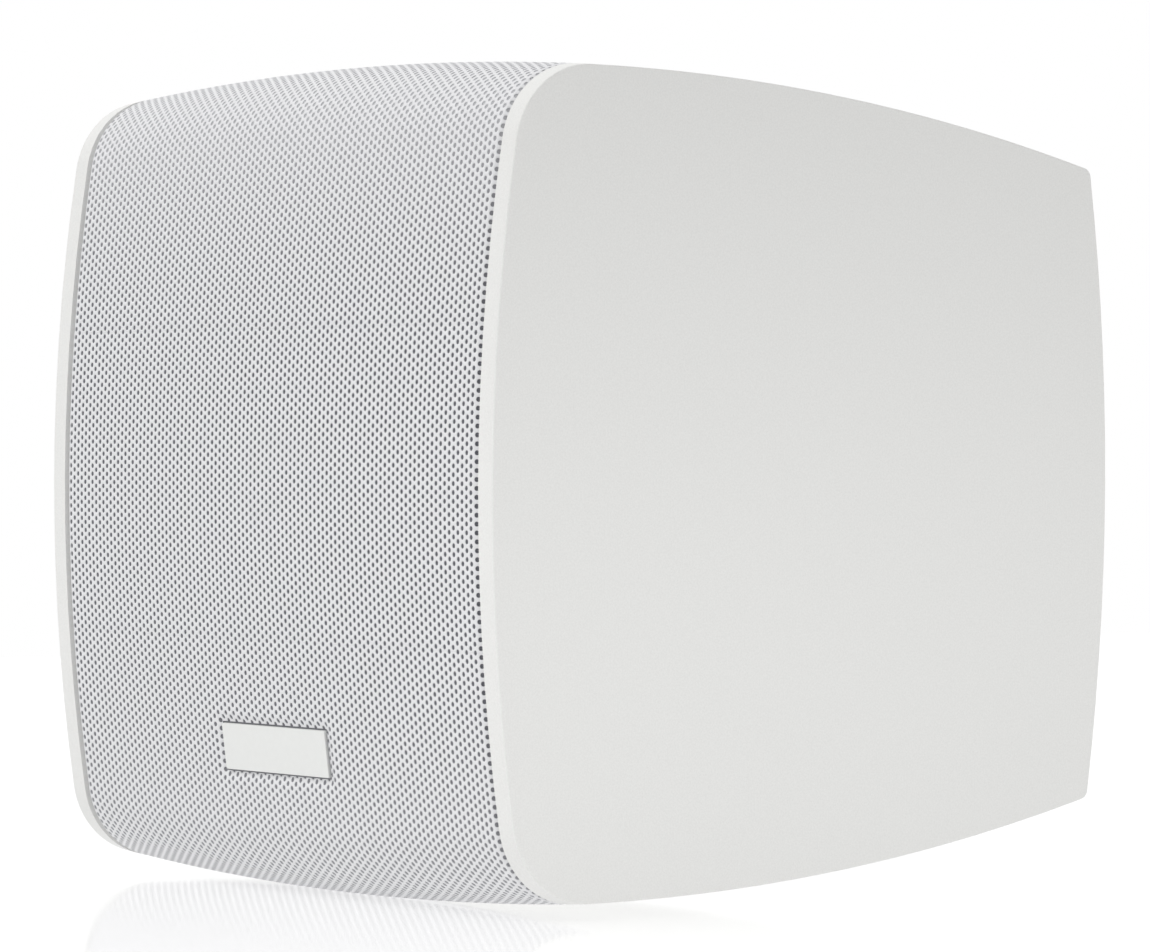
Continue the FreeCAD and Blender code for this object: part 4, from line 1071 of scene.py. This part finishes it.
def add_soft_ring(node: str, outline: Sequence[Point], place: Vector,
                  finish: Finish, parts: int = 12, steps: int = 8) -> None:
    """Soft ring in parts, each left on no body.

    Args:
        node: CAD node that the parts replace and are named after.
        outline: radius and depth of each point of the closed outline.
        place: where the axis crosses depth zero.
        finish: finish of the ring.
        parts: number of parts round the ring.
        steps: number of faces along a part.
    """
    turn = 2 * math.pi / parts
    for i in range(parts):
        bm = turned(outline, place, steps=steps, turns=(i * turn, (i + 1) * turn))
        piece = add_piece(f"{node}_{i + 1:02d}", bm, [finish], node, SOFT_DEG, rides=False)
        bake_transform(piece)


def add_softened(name: str, node: str, width: float, finish: Finish, flat_deg: float = 1.0,
                 least_deg: float = 40.0) -> None:
    """Piece made from a CAD node with its sharp edges rounded.

    Args:
        name: name of the piece.
        node: name of the CAD node.
        width: width of the rounding.
        finish: finish of the piece.
        flat_deg: faces that meet at less than this are joined first.
        least_deg: edges flatter than this stay as they are.
    """
    bm = copy_of(node)
    bmesh.ops.dissolve_limit(bm, angle_limit=math.radians(flat_deg), verts=bm.verts, edges=bm.edges)
    sharp = [e for e in bm.edges if e.is_manifold and e.calc_face_angle_signed() > math.radians(least_deg)]
    round_edges(bm, sharp, width, segments=2, clamp=True)
    even_shading(add_piece(name, bm, [finish], node))


def loose_parts(node: str) -> list[list[Vector]]:
    """Points of each separate solid of a CAD node, from left to right and from the bottom up.

    Args:
        node: name of the CAD node.

    Returns:
        One list of points for each solid, sorted by tenths of a millimetre.
    """
    bm = copy_of(node)
    left = set(bm.verts)
    groups = []
    while left:
        waiting = [left.pop()]
        group = []
        while waiting:
            vert = waiting.pop()
            group.append(vert.co.copy())
            near = {v for e in vert.link_edges for v in e.verts} & left
            left -= near
            waiting.extend(near)
        groups.append(group)
    bm.free()
    return sorted(groups, key=lambda group: tuple(round(c, 4) for c in sum(group, Vector()) / len(group)))


def corners(points: Sequence[Vector]) -> tuple[Vector, Vector]:
    """Lowest and highest corner round some points."""
    return tuple(Vector(pick(p[i] for p in points) for i in range(3)) for pick in (min, max))


@dataclass
class Screws:
    """Pan-head screws with a cross recess, one set for each CAD node of screws.

    Attributes:
        nodes: CAD nodes of screws.
        head: radius of the head.
        head_height: height of the head.
        head_round: rounding of the head.
        head_shares: radius and height of the edge of the head's flat middle, and height of its rounding,
            as shares of the head's own.
        round_from: angle at which the rounding starts, in degrees.
        head_least: points further out than this share of the head's radius belong to a head.
        core: radius of the shank between its threads.
        crest: radius over the threads.
        thread: distance between threads.
        flank: share of that distance that one flank takes.
        tip: length of the point.
        recess: width, length and depth of each slot of the cross.
        sides: number of faces round the screw.
        stop: turn from each screw to the next, in radians.
    """

    nodes: tuple[str, ...] = ("baffle_screws", "woofer_screws", "tweeter_screws", "terminal_screws",
                              "board_screws")
    head: float = 3.2 * MM
    head_height: float = 2.0 * MM
    head_round: float = 0.9 * MM
    head_shares: tuple[float, float, float] = (0.5, 0.98, 0.95)
    round_from: float = -75.0
    head_least: float = 0.9
    core: float = 1.2 * MM
    crest: float = 1.6 * MM
    thread: float = 1.4 * MM
    flank: float = 0.3
    tip: float = 1.6 * MM
    recess: tuple[float, float, float] = (0.8 * MM, 3.4 * MM, 1.2 * MM)
    sides: int = 24
    stop: float = 0.9

    def outline(self, length: float) -> list[Point]:
        """Radius and depth of the screw's points, with the seat of the head at depth zero.

        Args:
            length: length of the shank.

        Returns:
            The outline from the head's middle to the tip.
        """
        height, soft, flank = self.head_height, self.head_round, self.flank * self.thread
        flat, level, shoulder = self.head_shares
        top = [(0.0, -height), (flat * self.head, -level * height)]
        top += arc((self.head - soft, soft - height * shoulder), soft, self.round_from, 0.0, steps=5)
        shank = [(self.head, 0.0), (self.core, 0.0)]
        for i in range(int((length - self.tip) / self.thread)):
            start = i * self.thread + flank
            shank += [(self.core, start), (self.crest, start + flank), (self.core, start + 2 * flank)]
        return [*top, *shank, (self.core, length - self.tip), (0.0, length)]

    def model(self, length: float) -> Mesh:
        """One screw along +Y with its cross cut into the head.

        Args:
            length: length of the shank.

        Returns:
            A new mesh.
        """
        bm = turned(self.outline(length), Vector(), closed=False, steps=self.sides)
        holder = linked("screw", as_mesh("screw", bm))
        width, span, depth = self.recess
        slots = []
        for size in ((width, 2 * depth, span), (span, 2 * depth, width)):
            slots.append(linked("slot", as_mesh("slot", block(size, (0.0, -self.head_height, 0.0)))))
            cross = holder.modifiers.new("cross", "BOOLEAN")
            cross.operation = "DIFFERENCE"
            cross.solver = "EXACT"
            cross.object = slots[-1]
        cut_mesh = evaluated(holder)
        discard(holder, *slots)
        return cut_mesh

    def place(self, points: Sequence[Vector]) -> tuple[Matrix, float]:
        """Where a CAD screw sits.

        Args:
            points: points of the CAD screw.

        Returns:
            The move from a screw along +Y to this one, and the length of the shank.
        """
        low, high = corners(points)
        size = high - low
        axis = max(range(3), key=lambda i: size[i])
        middle = (low + high) / 2
        across = [i for i in range(3) if i != axis]
        least = self.head_least * self.head
        wide = [p[axis] for p in points if math.hypot(*[(p - middle)[i] for i in across]) > least]
        onwards = sum(wide) / len(wide) < middle[axis]
        seat = middle.copy()
        seat[axis] = low[axis] + self.head_height if onwards else high[axis] - self.head_height
        direction = Vector((0.0, 0.0, 0.0))
        direction[axis] = 1.0 if onwards else -1.0
        turn = Vector((0.0, 1.0, 0.0)).rotation_difference(direction).to_matrix().to_4x4()
        return Matrix.Translation(seat) @ turn, size[axis] - self.head_height

    def build(self) -> None:
        """Make every set of screws, each screw stopped at its own turn."""
        for node in self.nodes:
            places = [self.place(points) for points in loose_parts(node)]
            model = self.model(places[0][1])
            bm = bmesh.new()
            for i, (move, _) in enumerate(places):
                known = len(bm.verts)
                bm.from_mesh(model)
                bm.verts.ensure_lookup_table()
                stop = Matrix.Rotation(self.stop * i, 4, "Y")
                bmesh.ops.transform(bm, matrix=move @ stop, verts=bm.verts[known:])
            bpy.data.meshes.remove(model)
            add_piece(f"{node}_pan_head", bm, [BLACK_SCREW], node)


# Drivers


@dataclass
class Woofer:
    """Low driver: painted basket, rubber surround, paper cone and cap, with its motor behind.

    Attributes:
        edge: rounding of the basket's edges.
        lips: widths of the surround's outer and inner lip.
        roll: outer radius of the surround's roll.
        throat: radius where the outer lip meets the roll.
        rubber: thickness of the surround.
        cone_radius: radius of the cone's lip.
        cone_rim: radius where the lip meets the cone.
        cone_neck: radius of the cone's neck.
        cone_depth: depth of the cone.
        cone_swell: how far the cone's curve stands off a straight line.
        cone_steps: number of faces along the cone's curve.
        paper: thickness of the cone.
        cap_radius: radius of the dust cap.
        cap_rise: rise of the dust cap.
        cap_paper: thickness of the dust cap.
        cap_gap: clearance between the cap's rim and the cone.
        spider_radii: radii of the spider's rim, of its last fold, of its first fold and of its bore.
        spider_waves: number of folds.
        spider_rise: height of a fold.
        spider_cloth: thickness of the spider.
    """

    edge: float = 0.4 * MM
    lips: Point = (6.4 * MM, 3.0 * MM)
    roll: float = 4.0 * MM
    throat: float = 55.5 * MM
    rubber: float = 1.0 * MM
    cone_radius: float = 47.5 * MM
    cone_rim: float = 44.5 * MM
    cone_neck: float = 13.0 * MM
    cone_depth: float = 21.0 * MM
    cone_swell: float = 4.0 * MM
    cone_steps: int = 16
    paper: float = 0.8 * MM
    cap_radius: float = 19.0 * MM
    cap_rise: float = 6.5 * MM
    cap_paper: float = 0.6 * MM
    cap_gap: float = 0.1 * MM
    spider_radii: tuple[float, float, float, float] = (35.0 * MM, 30.5 * MM, 13.6 * MM, 13.0 * MM)
    spider_waves: int = 5
    spider_rise: float = 1.3 * MM
    spider_cloth: float = 0.6 * MM

    def __post_init__(self) -> None:
        """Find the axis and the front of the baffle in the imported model."""
        self.place = axis_at(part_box("woofer_cone"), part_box("front_baffle")[0].y)

    def paper_depth(self, radius: float) -> float:
        """Depth of the cone's face at a radius."""
        share = (self.cone_rim - radius) / (self.cone_rim - self.cone_neck)
        return self.rubber + self.cone_depth * share + self.cone_swell * share * (1 - share)

    def build_cone(self) -> None:
        """Curved paper cone with a flat lip, and the cap over its neck."""
        span = self.cone_rim - self.cone_neck
        radii = [self.cone_rim - span * i / self.cone_steps for i in range(self.cone_steps + 1)]
        wall = walled([(r, self.paper_depth(r)) for r in radii], self.paper)
        lip = [(self.cone_radius, self.rubber + self.paper), (self.cone_radius, self.rubber)]
        add_piece("woofer_paper_cone", turned([*wall, *lip], self.place), [CONE_PAPER], "woofer_cone")
        base = self.paper_depth(self.cap_radius) - self.cap_paper - self.cap_gap
        shell = walled(cap(self.cap_radius, self.cap_rise, base), self.cap_paper)
        add_piece("woofer_cap", turned(shell, self.place, closed=False), [CAP_PAPER], "woofer_dust_cap")

    def build_suspension(self) -> None:
        """Rubber surround in front of the cone and pleated spider behind it."""
        surround = half_roll(self.lips, self.roll, self.throat, self.rubber, self.rubber)
        add_soft_ring("woofer_surround", surround, self.place, RUBBER)
        rim, last, first, bore = self.spider_radii
        step = (last - first) / (2 * self.spider_waves)
        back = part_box("woofer_spider")[1].y - self.spider_rise - self.place.y
        folds = [(bore, back), (first, back)]
        folds += [(first + (i + 0.5) * step, back + self.spider_rise * (-1) ** i)
                  for i in range(2 * self.spider_waves)]
        folds += [(last, back), (rim, back)]
        front = [(r, depth - self.spider_cloth) for r, depth in folds]
        add_soft_ring("woofer_spider", [*front, *reversed(folds)], self.place,
                      SPIDER_CLOTH, steps=6)

    def build(self) -> None:
        """Make the pieces in view and dress the motor."""
        add_softened("woofer_frame", "woofer_basket", self.edge, BLACK_PAINT)
        self.build_cone()
        self.build_suspension()
        dress(FOAM, "woofer_gasket")
        dress(FORMER_FOIL, "woofer_coil_former")
        dress(COPPER, "woofer_coil_winding")
        dress(ZINC_STEEL, "woofer_top_plate", "woofer_yoke")
        dress(FERRITE, "woofer_magnet")
        dress(TAG_FIBRE, "woofer_tag_strip")
        dress(BRASS, "woofer_tag_tabs")


@dataclass
class Tweeter:
    """High driver: moulded plate with a flared mouth, coated cloth dome and its motor.

    Attributes:
        edge: rounding of the plate's edges.
        lips: widths of the suspension's outer and inner lip.
        roll: outer radius of the suspension's roll.
        outer: radius where the outer lip meets the roll.
        back: depth of the back of the suspension behind the baffle's face.
        cloth: thickness of the suspension.
        dome: radius of the dome.
        dome_rise: rise of the dome.
        dome_cloth: thickness of the dome.
    """

    edge: float = 0.4 * MM
    lips: Point = (4.0 * MM, 0.1 * MM)
    roll: float = 1.7 * MM
    outer: float = 15.8 * MM
    back: float = 5.0 * MM
    cloth: float = 0.5 * MM
    dome: float = 12.2 * MM
    dome_rise: float = 5.6 * MM
    dome_cloth: float = 0.4 * MM

    def build(self) -> None:
        """Make the pieces in view and dress the motor."""
        place = axis_at(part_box("tweeter_dome"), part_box("front_baffle")[0].y)
        add_softened("tweeter_plate", "tweeter_faceplate", self.edge, BLACK_ABS)
        ring = half_roll(self.lips, self.roll, self.outer, self.back, self.cloth)
        add_piece("tweeter_roll", turned(ring, place), [DOME_CLOTH], "tweeter_suspension", SOFT_DEG)
        shell = walled(cap(self.dome, self.dome_rise, self.back - self.cloth), self.dome_cloth)
        add_piece("tweeter_cloth_dome", turned(shell, place, closed=False), [DOME_CLOTH], "tweeter_dome")
        dress(COPPER, "tweeter_coil")
        dress(ZINC_STEEL, "tweeter_top_plate", "tweeter_yoke")
        dress(FERRITE, "tweeter_magnet")


# Baffle


@dataclass
class Baffle:
    """Black board that carries both drivers, with its foam seal.

    Attributes:
        edge: rounding of its edges.
    """

    edge: float = 0.5 * MM

    def build(self) -> None:
        """Round the board's edges and dress its seal."""
        add_softened("baffle_board", "front_baffle", self.edge, BLACK_ABS)
        dress(FOAM, "baffle_gasket")


# Terminals and mounts on the back


@dataclass
class Terminals:
    """Recessed cup with two binding posts.

    Attributes:
        edge: rounding of the cup's edges.
        flutes: number of flutes round a knob.
        flute: radius of a flute.
        flute_faces: faces from one flute to the next.
        flute_start: length over which the flutes begin.
        flute_fade: share of the flutes' depth that is left at the outer end.
        foot: chamfer of the knob's inner end.
        lead_in: plain length of the knob in front of the flutes.
        chamfer: chamfer of the knob's outer end.
        bore: radius of the knob's bore.
        end: thickness of the knob's closed end.
        dimple: depth of the dish in the closed end.
        dish_shares: radii of the dish's rim and floor, as shares of the knob's.
        collar_bore: radius of the collar's bore.
        collar_edge: rounding of the collar.
    """

    edge: float = 0.5 * MM
    flutes: int = 12
    flute: float = 0.7 * MM
    flute_faces: int = 16
    flute_start: float = 0.2 * MM
    flute_fade: float = 0.6
    foot: float = 0.3 * MM
    lead_in: float = 1.0 * MM
    chamfer: float = 0.7 * MM
    bore: float = 2.05 * MM
    end: float = 2.5 * MM
    dimple: float = 0.4 * MM
    dish_shares: Point = (0.6, 0.5)
    collar_bore: float = 2.1 * MM
    collar_edge: float = 0.5 * MM

    def fluted(self, radius: float, share: float) -> list[float]:
        """Radius of a ring of the knob at each of its points.

        Args:
            radius: the ring's plain radius.
            share: how deep the flutes are cut, from 0 to 1.

        Returns:
            One radius for each point round the ring.
        """
        found = []
        for i in range(self.flutes * self.flute_faces):
            turn = ((i % self.flute_faces) / self.flute_faces - 0.5) * 2 * math.pi / self.flutes
            off = radius * math.sin(turn)
            cut = radius * math.cos(turn) - math.sqrt(max(self.flute ** 2 - off ** 2, 0.0))
            found.append(radius + share * (cut - radius) if abs(off) < self.flute else radius)
        return found

    def knob(self, node: str) -> BMesh:
        """Fluted knob with a blind bore, in the place of its CAD node.

        Args:
            node: name of the CAD node.

        Returns:
            A new bmesh.
        """
        low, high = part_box(node)
        radius, length = (high.x - low.x) / 2, high.y - low.y
        count = self.flutes * self.flute_faces
        lead, foot = self.lead_in, self.foot
        rim, floor = [share * radius for share in self.dish_shares]
        rings = [(self.bore, length - self.end, 0.0), (self.bore, 0.0, 0.0), (radius - foot, 0.0, 0.0),
                 (radius, foot, 0.0), (radius, lead, 0.0), (radius, lead + self.flute_start, 1.0),
                 (radius, length - self.chamfer, 1.0), (radius - self.chamfer, length, self.flute_fade),
                 (rim, length, 0.0), (floor, length - self.dimple, 0.0)]
        bm = bmesh.new()
        bmesh.ops.create_circle(bm, segments=count, radius=self.bore, cap_ends=True)
        bmesh.ops.rotate(bm, cent=(0, 0, 0), matrix=Matrix.Rotation(-math.pi / 2, 3, "X"), verts=bm.verts)
        loop = sorted(bm.verts, key=lambda v: math.atan2(v.co.z, v.co.x))
        for i, (size, depth, share) in enumerate(rings):
            if i:
                edges = [bm.edges.get(pair) for pair in zip(loop, loop[1:] + loop[:1])]
                known = {v: k for k, v in enumerate(loop)}
                made = bmesh.ops.extrude_edge_only(bm, edges=edges)["geom"]
                fresh = [g for g in made if isinstance(g, BMVert)]
                ahead = {}
                for v in fresh:
                    old = next(e.other_vert(v) for e in v.link_edges if e.other_vert(v) in known)
                    ahead[known[old]] = v
                loop = [ahead[k] for k in range(count)]
            for k, (v, r) in enumerate(zip(loop, self.fluted(size, share))):
                turn = 2 * math.pi * k / count
                v.co = (r * math.cos(turn), depth, r * math.sin(turn))
        bm.faces.new(loop)
        bmesh.ops.recalc_face_normals(bm, faces=bm.faces)
        bmesh.ops.translate(bm, vec=axis_at((low, high), low.y), verts=bm.verts)
        return bm

    def collar(self, node: str) -> BMesh:
        """Round collar under a knob, in the place of its CAD node.

        Args:
            node: name of the CAD node.

        Returns:
            A new bmesh.
        """
        low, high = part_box(node)
        radius, length, edge = (high.x - low.x) / 2, high.y - low.y, self.collar_edge
        outline = [(self.collar_bore, length), (self.collar_bore, 0.0), (radius, 0.0),
                   *arc((radius - edge, length - edge), edge, 0.0, 90.0, steps=5)]
        return turned(outline, axis_at((low, high), low.y))

    def build(self) -> None:
        """Make the cup, the collars and the knobs, and dress what is behind them."""
        add_softened("terminal_recess", "terminal_cup", self.edge, BLACK_ABS)
        for colour, finish in (("red", RED_ABS), ("black", GLOSS_ABS)):
            knob, collar = f"{colour}_post_knob", f"{colour}_post_collar"
            add_piece(f"{colour}_knob_fluted", self.knob(knob), [finish], knob)
            add_piece(f"{colour}_collar", self.collar(collar), [finish], collar)
        dress(FOAM, "terminal_gasket")
        dress(BRASS, "post_studs", "post_nuts")


@dataclass
class Inserts:
    """Threaded brass inserts in the rear pad.

    Attributes:
        crest: radius of the bore over its threads.
        root: radius of the bore between its threads.
        thread: distance between threads.
        flanks: places where a crest starts and ends and where the root is met, as shares of that distance.
        lead_in: depth of the countersink at the open end.
        rim: chamfer of the outer rim.
        sides: number of faces round an insert.
    """

    crest: float = 2.5 * MM
    root: float = 2.9 * MM
    thread: float = 0.8 * MM
    flanks: tuple[float, float, float] = (0.4, 0.55, 0.95)
    lead_in: float = 0.5 * MM
    rim: float = 0.2 * MM
    sides: int = 48

    def build(self) -> None:
        """Make all four inserts as one piece."""
        bm = bmesh.new()
        for points in loose_parts("mounting_inserts"):
            low, high = corners(points)
            radius, length = (high.x - low.x) / 2, high.y - low.y
            bore = [(self.root, 0.0)]
            for i in range(int((length - self.lead_in) / self.thread)):
                bore += [(radius_at, (i + share) * self.thread)
                         for radius_at, share in zip((self.crest, self.crest, self.root), self.flanks)]
            mouth = [(self.crest, length - self.lead_in), (self.crest + self.lead_in, length)]
            rim = [(radius - self.rim, length), (radius, length - self.rim), (radius, 0.0)]
            place = axis_at((low, high), low.y)
            absorb(bm, as_mesh("insert", turned([*bore, *mouth, *rim], place, steps=self.sides)))
        add_piece("threaded_inserts", bm, [BRASS], "mounting_inserts")


# Inside the cabinet


@dataclass
class Inside:
    """Crossover, leads and damping felt, closed in behind the baffle.

    Attributes:
        felt_edge: rounding of the felt pad.
        felt_swell: how far the pad's face stands out between its edges.
        felt_cells: cells along each side of the pad.
        felt_slope: power by which the swell falls off towards the edges.
        felt_ripple: share of the swell that comes and goes in waves.
        felt_waves: lengths along the depth and the height over which the waves turn by a radian.
    """

    felt_edge: float = 3.0 * MM
    felt_swell: float = 0.8 * MM
    felt_cells: int = 20
    felt_slope: int = 4
    felt_ripple: float = 0.3
    felt_waves: Point = (9 * MM, 11 * MM)

    def build_felt(self) -> None:
        """Soft pad with round edges and an uneven face, flat on the cheek that it is glued to."""
        low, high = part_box("damping_felt")
        size, middle = high - low, (low + high) / 2
        bm = block(size - Vector((self.felt_swell, 0.0, 0.0)))
        outer = math.copysign(1.0, middle.x)
        rim = [e for e in bm.edges if sum(v.co.x * outer for v in e.verts) <= MERGE_DISTANCE]
        round_edges(bm, rim, self.felt_edge, segments=4)
        long_edges = [e for e in bm.edges if e.calc_length() > size.y / 2]
        bmesh.ops.subdivide_edges(bm, edges=long_edges, cuts=self.felt_cells, use_grid_fill=True)
        for v in bm.verts:
            face = max(-v.co.x * outer * 2 / size.x, 0.0)
            share = [max(1 - (2 * abs(c) / length) ** self.felt_slope, 0.0)
                     for c, length in ((v.co.y, size.y), (v.co.z, size.z))]
            wave = math.sin(v.co.y / self.felt_waves[0]) * math.cos(v.co.z / self.felt_waves[1])
            ripple = 1 - self.felt_ripple + self.felt_ripple * wave
            v.co.x -= outer * (self.felt_swell / 2 * face * share[0] * share[1] * ripple)
        shift = Vector((outer * self.felt_swell / 2, 0.0, 0.0))
        bmesh.ops.translate(bm, vec=middle + shift, verts=bm.verts)
        pad = add_piece("damping_pad", bm, [FELT], "damping_felt", SOFT_DEG)

    def build(self) -> None:
        """Lay the felt and dress the crossover and its leads."""
        self.build_felt()
        dress(GLASS_EPOXY, "crossover_board")
        dress(COPPER, "low_pass_inductor", "high_pass_inductor")
        dress(FILM_WRAP, "crossover_capacitors")
        dress(CEMENT, "crossover_resistor")
        dress(LEAD_PVC, "input_leads", "woofer_leads", "tweeter_leads")


# Studio


@dataclass(frozen=True)
class Lamp:
    """Soft box that looks at the object and isn't seen itself.

    Attributes:
        name: name of the lamp.
        place: where it hangs.
        size: width and height of the soft box.
        power: its power in watts.
    """

    name: str
    place: tuple[float, float, float]
    size: Point
    power: float

    def build(self) -> None:
        """Hang the lamp and turn it to the middle of the object."""
        lamp = bpy.data.lights.new(self.name, "AREA")
        lamp.shape = "RECTANGLE"
        lamp.size, lamp.size_y = self.size
        lamp.energy = self.power
        holder = linked(self.name, lamp)
        holder.visible_camera = False
        holder.visible_glossy = False
        target = (CAD_BOX[0] + CAD_BOX[1]) / 2
        holder.location = self.place
        holder.rotation_euler = (Vector(self.place) - target).to_track_quat("Z", "Y").to_euler()


@dataclass
class Studio:
    """Light table as the floor, white surroundings and soft lamps.

    Attributes:
        floor_half: half the width of the floor.
        floor_colour: sRGB hex of the light table's top.
        mirror: share of a clear gloss that the table mirrors at a low angle.
        gloss: roughness of that gloss.
        gloss_ior: its refractive index.
        glow: light from within the table.
        lift: what the camera sees on top of that, so that the table looks white.
        horizon: strength of the light from low down, where the room is darker.
        zenith: strength of the light from straight above.
        lamps: a large soft box above and two low cards of light in front and at the side.
    """

    floor_half: float = 1.6
    floor_colour: str = "#A0A0A0"
    mirror: float = 0.8
    gloss: float = 0.08
    gloss_ior: float = 1.45
    glow: float = 0.64
    lift: float = 0.24
    horizon: float = 0.2
    zenith: float = 0.95
    lamps: tuple[Lamp, ...] = (
        Lamp("key_box", (-0.4, -1.3, 1.9), (1.6, 1.6), 23.0),
        Lamp("front_card", (0.1, -0.5, FLOOR + 0.05), (0.9, 0.15), 0.27),
        Lamp("side_card", (0.42, -0.1, FLOOR + 0.06), (0.5, 0.12), 0.24))

    def seen_plainly(self, tree: NodeTree) -> NodeSocket:
        """One for rays that should see the white surroundings: from the camera, a mirror or glass.

        Args:
            tree: node tree of the floor or the world.

        Returns:
            The socket that gives the value.
        """
        rays = add_node(tree, "ShaderNodeLightPath").outputs
        found = rays["Is Camera Ray"]
        for kind in ("Is Glossy Ray", "Is Transmission Ray"):
            larger = add_node(tree, "ShaderNodeMath", {0: found, 1: rays[kind]}, operation="MAXIMUM")
            found = larger.outputs[0]
        return found

    def floor_material(self) -> Material:
        """Matt top of the light table under a clear gloss that mirrors faintly.

        Returns:
            The new material.
        """
        made = bpy.data.materials.new("card_satin_white")
        tree = empty_tree(made)
        matt = add_node(tree, "ShaderNodeBsdfDiffuse", {"Color": linear(self.floor_colour)})
        seen = add_node(tree, "ShaderNodeMapRange", {0: self.seen_plainly(tree), 3: self.glow,
                                                     4: self.glow + self.lift})
        glow = add_node(tree, "ShaderNodeEmission", {"Strength": seen.outputs[0]})
        lit = add_node(tree, "ShaderNodeAddShader", {0: matt.outputs[0], 1: glow.outputs[0]})
        gloss = add_node(tree, "ShaderNodeBsdfGlossy", {"Color": WHITE, "Roughness": self.gloss})
        graze = add_node(tree, "ShaderNodeFresnel", {"IOR": self.gloss_ior})
        share = add_node(tree, "ShaderNodeMath", {0: graze.outputs[0], 1: self.mirror}, operation="MULTIPLY")
        card = add_node(tree, "ShaderNodeMixShader", {0: share.outputs[0], 1: lit.outputs[0],
                                                      2: gloss.outputs[0]})
        add_node(tree, "ShaderNodeOutputMaterial", {"Surface": card.outputs[0]})
        return made

    def build_floor(self) -> None:
        """Lay the floor under the lowest point."""
        bm = bmesh.new()
        bmesh.ops.create_grid(bm, x_segments=1, y_segments=1, size=self.floor_half)
        bmesh.ops.translate(bm, vec=(0.0, 0.0, FLOOR), verts=bm.verts)
        mesh = as_mesh("floor", bm)
        mesh.materials.append(self.floor_material())
        floor = linked("floor", mesh)

    def build_world(self) -> None:
        """White surroundings that light the object more softly than they look."""
        world = bpy.data.worlds.new("studio")
        bpy.context.scene.world = world
        tree = empty_tree(world)
        heading = add_node(tree, "ShaderNodeTexCoord").outputs["Generated"]
        height = add_node(tree, "ShaderNodeSeparateXYZ", {0: heading}).outputs["Z"]
        sky = add_node(tree, "ShaderNodeMapRange", {0: height, 3: self.horizon, 4: self.zenith})
        strength = add_node(tree, "ShaderNodeMapRange", {0: self.seen_plainly(tree), 3: sky.outputs[0],
                                                         4: 1.0})
        light = add_node(tree, "ShaderNodeBackground", {"Strength": strength.outputs[0], "Color": WHITE})
        add_node(tree, "ShaderNodeOutputWorld", {"Surface": light.outputs[0]})

    def build(self) -> None:
        """Make the floor, the surroundings and the lamps."""
        self.build_floor()
        self.build_world()
        for lamp in self.lamps:
            lamp.build()
        bpy.context.scene.view_settings.view_transform = "Standard"


@dataclass(frozen=True)
class PhotoCamera:
    """Camera at the photograph's place.

    Attributes:
        place: position in the frame of the model.
        azimuth: turn about the vertical, in degrees, from looking along +Y.
        elevation: tilt above the horizon, in degrees.
        roll: turn about the line of sight, in degrees.
        lens: focal length in millimetres.
        sensor: sensor width in millimetres.
    """

    place: tuple[float, float, float] = (1.41086, -1.12786, -0.00914)
    azimuth: float = 54.223
    elevation: float = 0.3792
    roll: float = 0.2702
    lens: float = 176.871
    sensor: float = 36.0

    def build(self) -> None:
        """Make the camera and use it for the scene."""
        data = bpy.data.cameras.new("photo_camera")
        data.lens = self.lens
        data.sensor_width = self.sensor
        turn = (Matrix.Rotation(math.radians(self.azimuth), 4, "Z")
                @ Matrix.Rotation(math.radians(90 - self.elevation), 4, "X")
                @ Matrix.Rotation(math.radians(self.roll), 4, "Z"))
        camera = linked("photo_camera", data)
        camera.matrix_world = Matrix.Translation(self.place) @ turn
        bpy.context.scene.camera = camera


def main() -> None:
    """Build the camera, the speaker and the studio in order."""
    logging.basicConfig(level=logging.INFO, format="%(name)s %(message)s")
    PhotoCamera().build()
    parts = (Cabinet(), Grille(FrontOutline.of_cabinet()), Baffle(), Woofer(), Tweeter(), Terminals(),
             Inserts(), Inside(), Screws(), Studio())
    for part in parts:
        part.build()
        LOG.info("%s built", type(part).__name__)


if __name__ == "__main__":
    main()
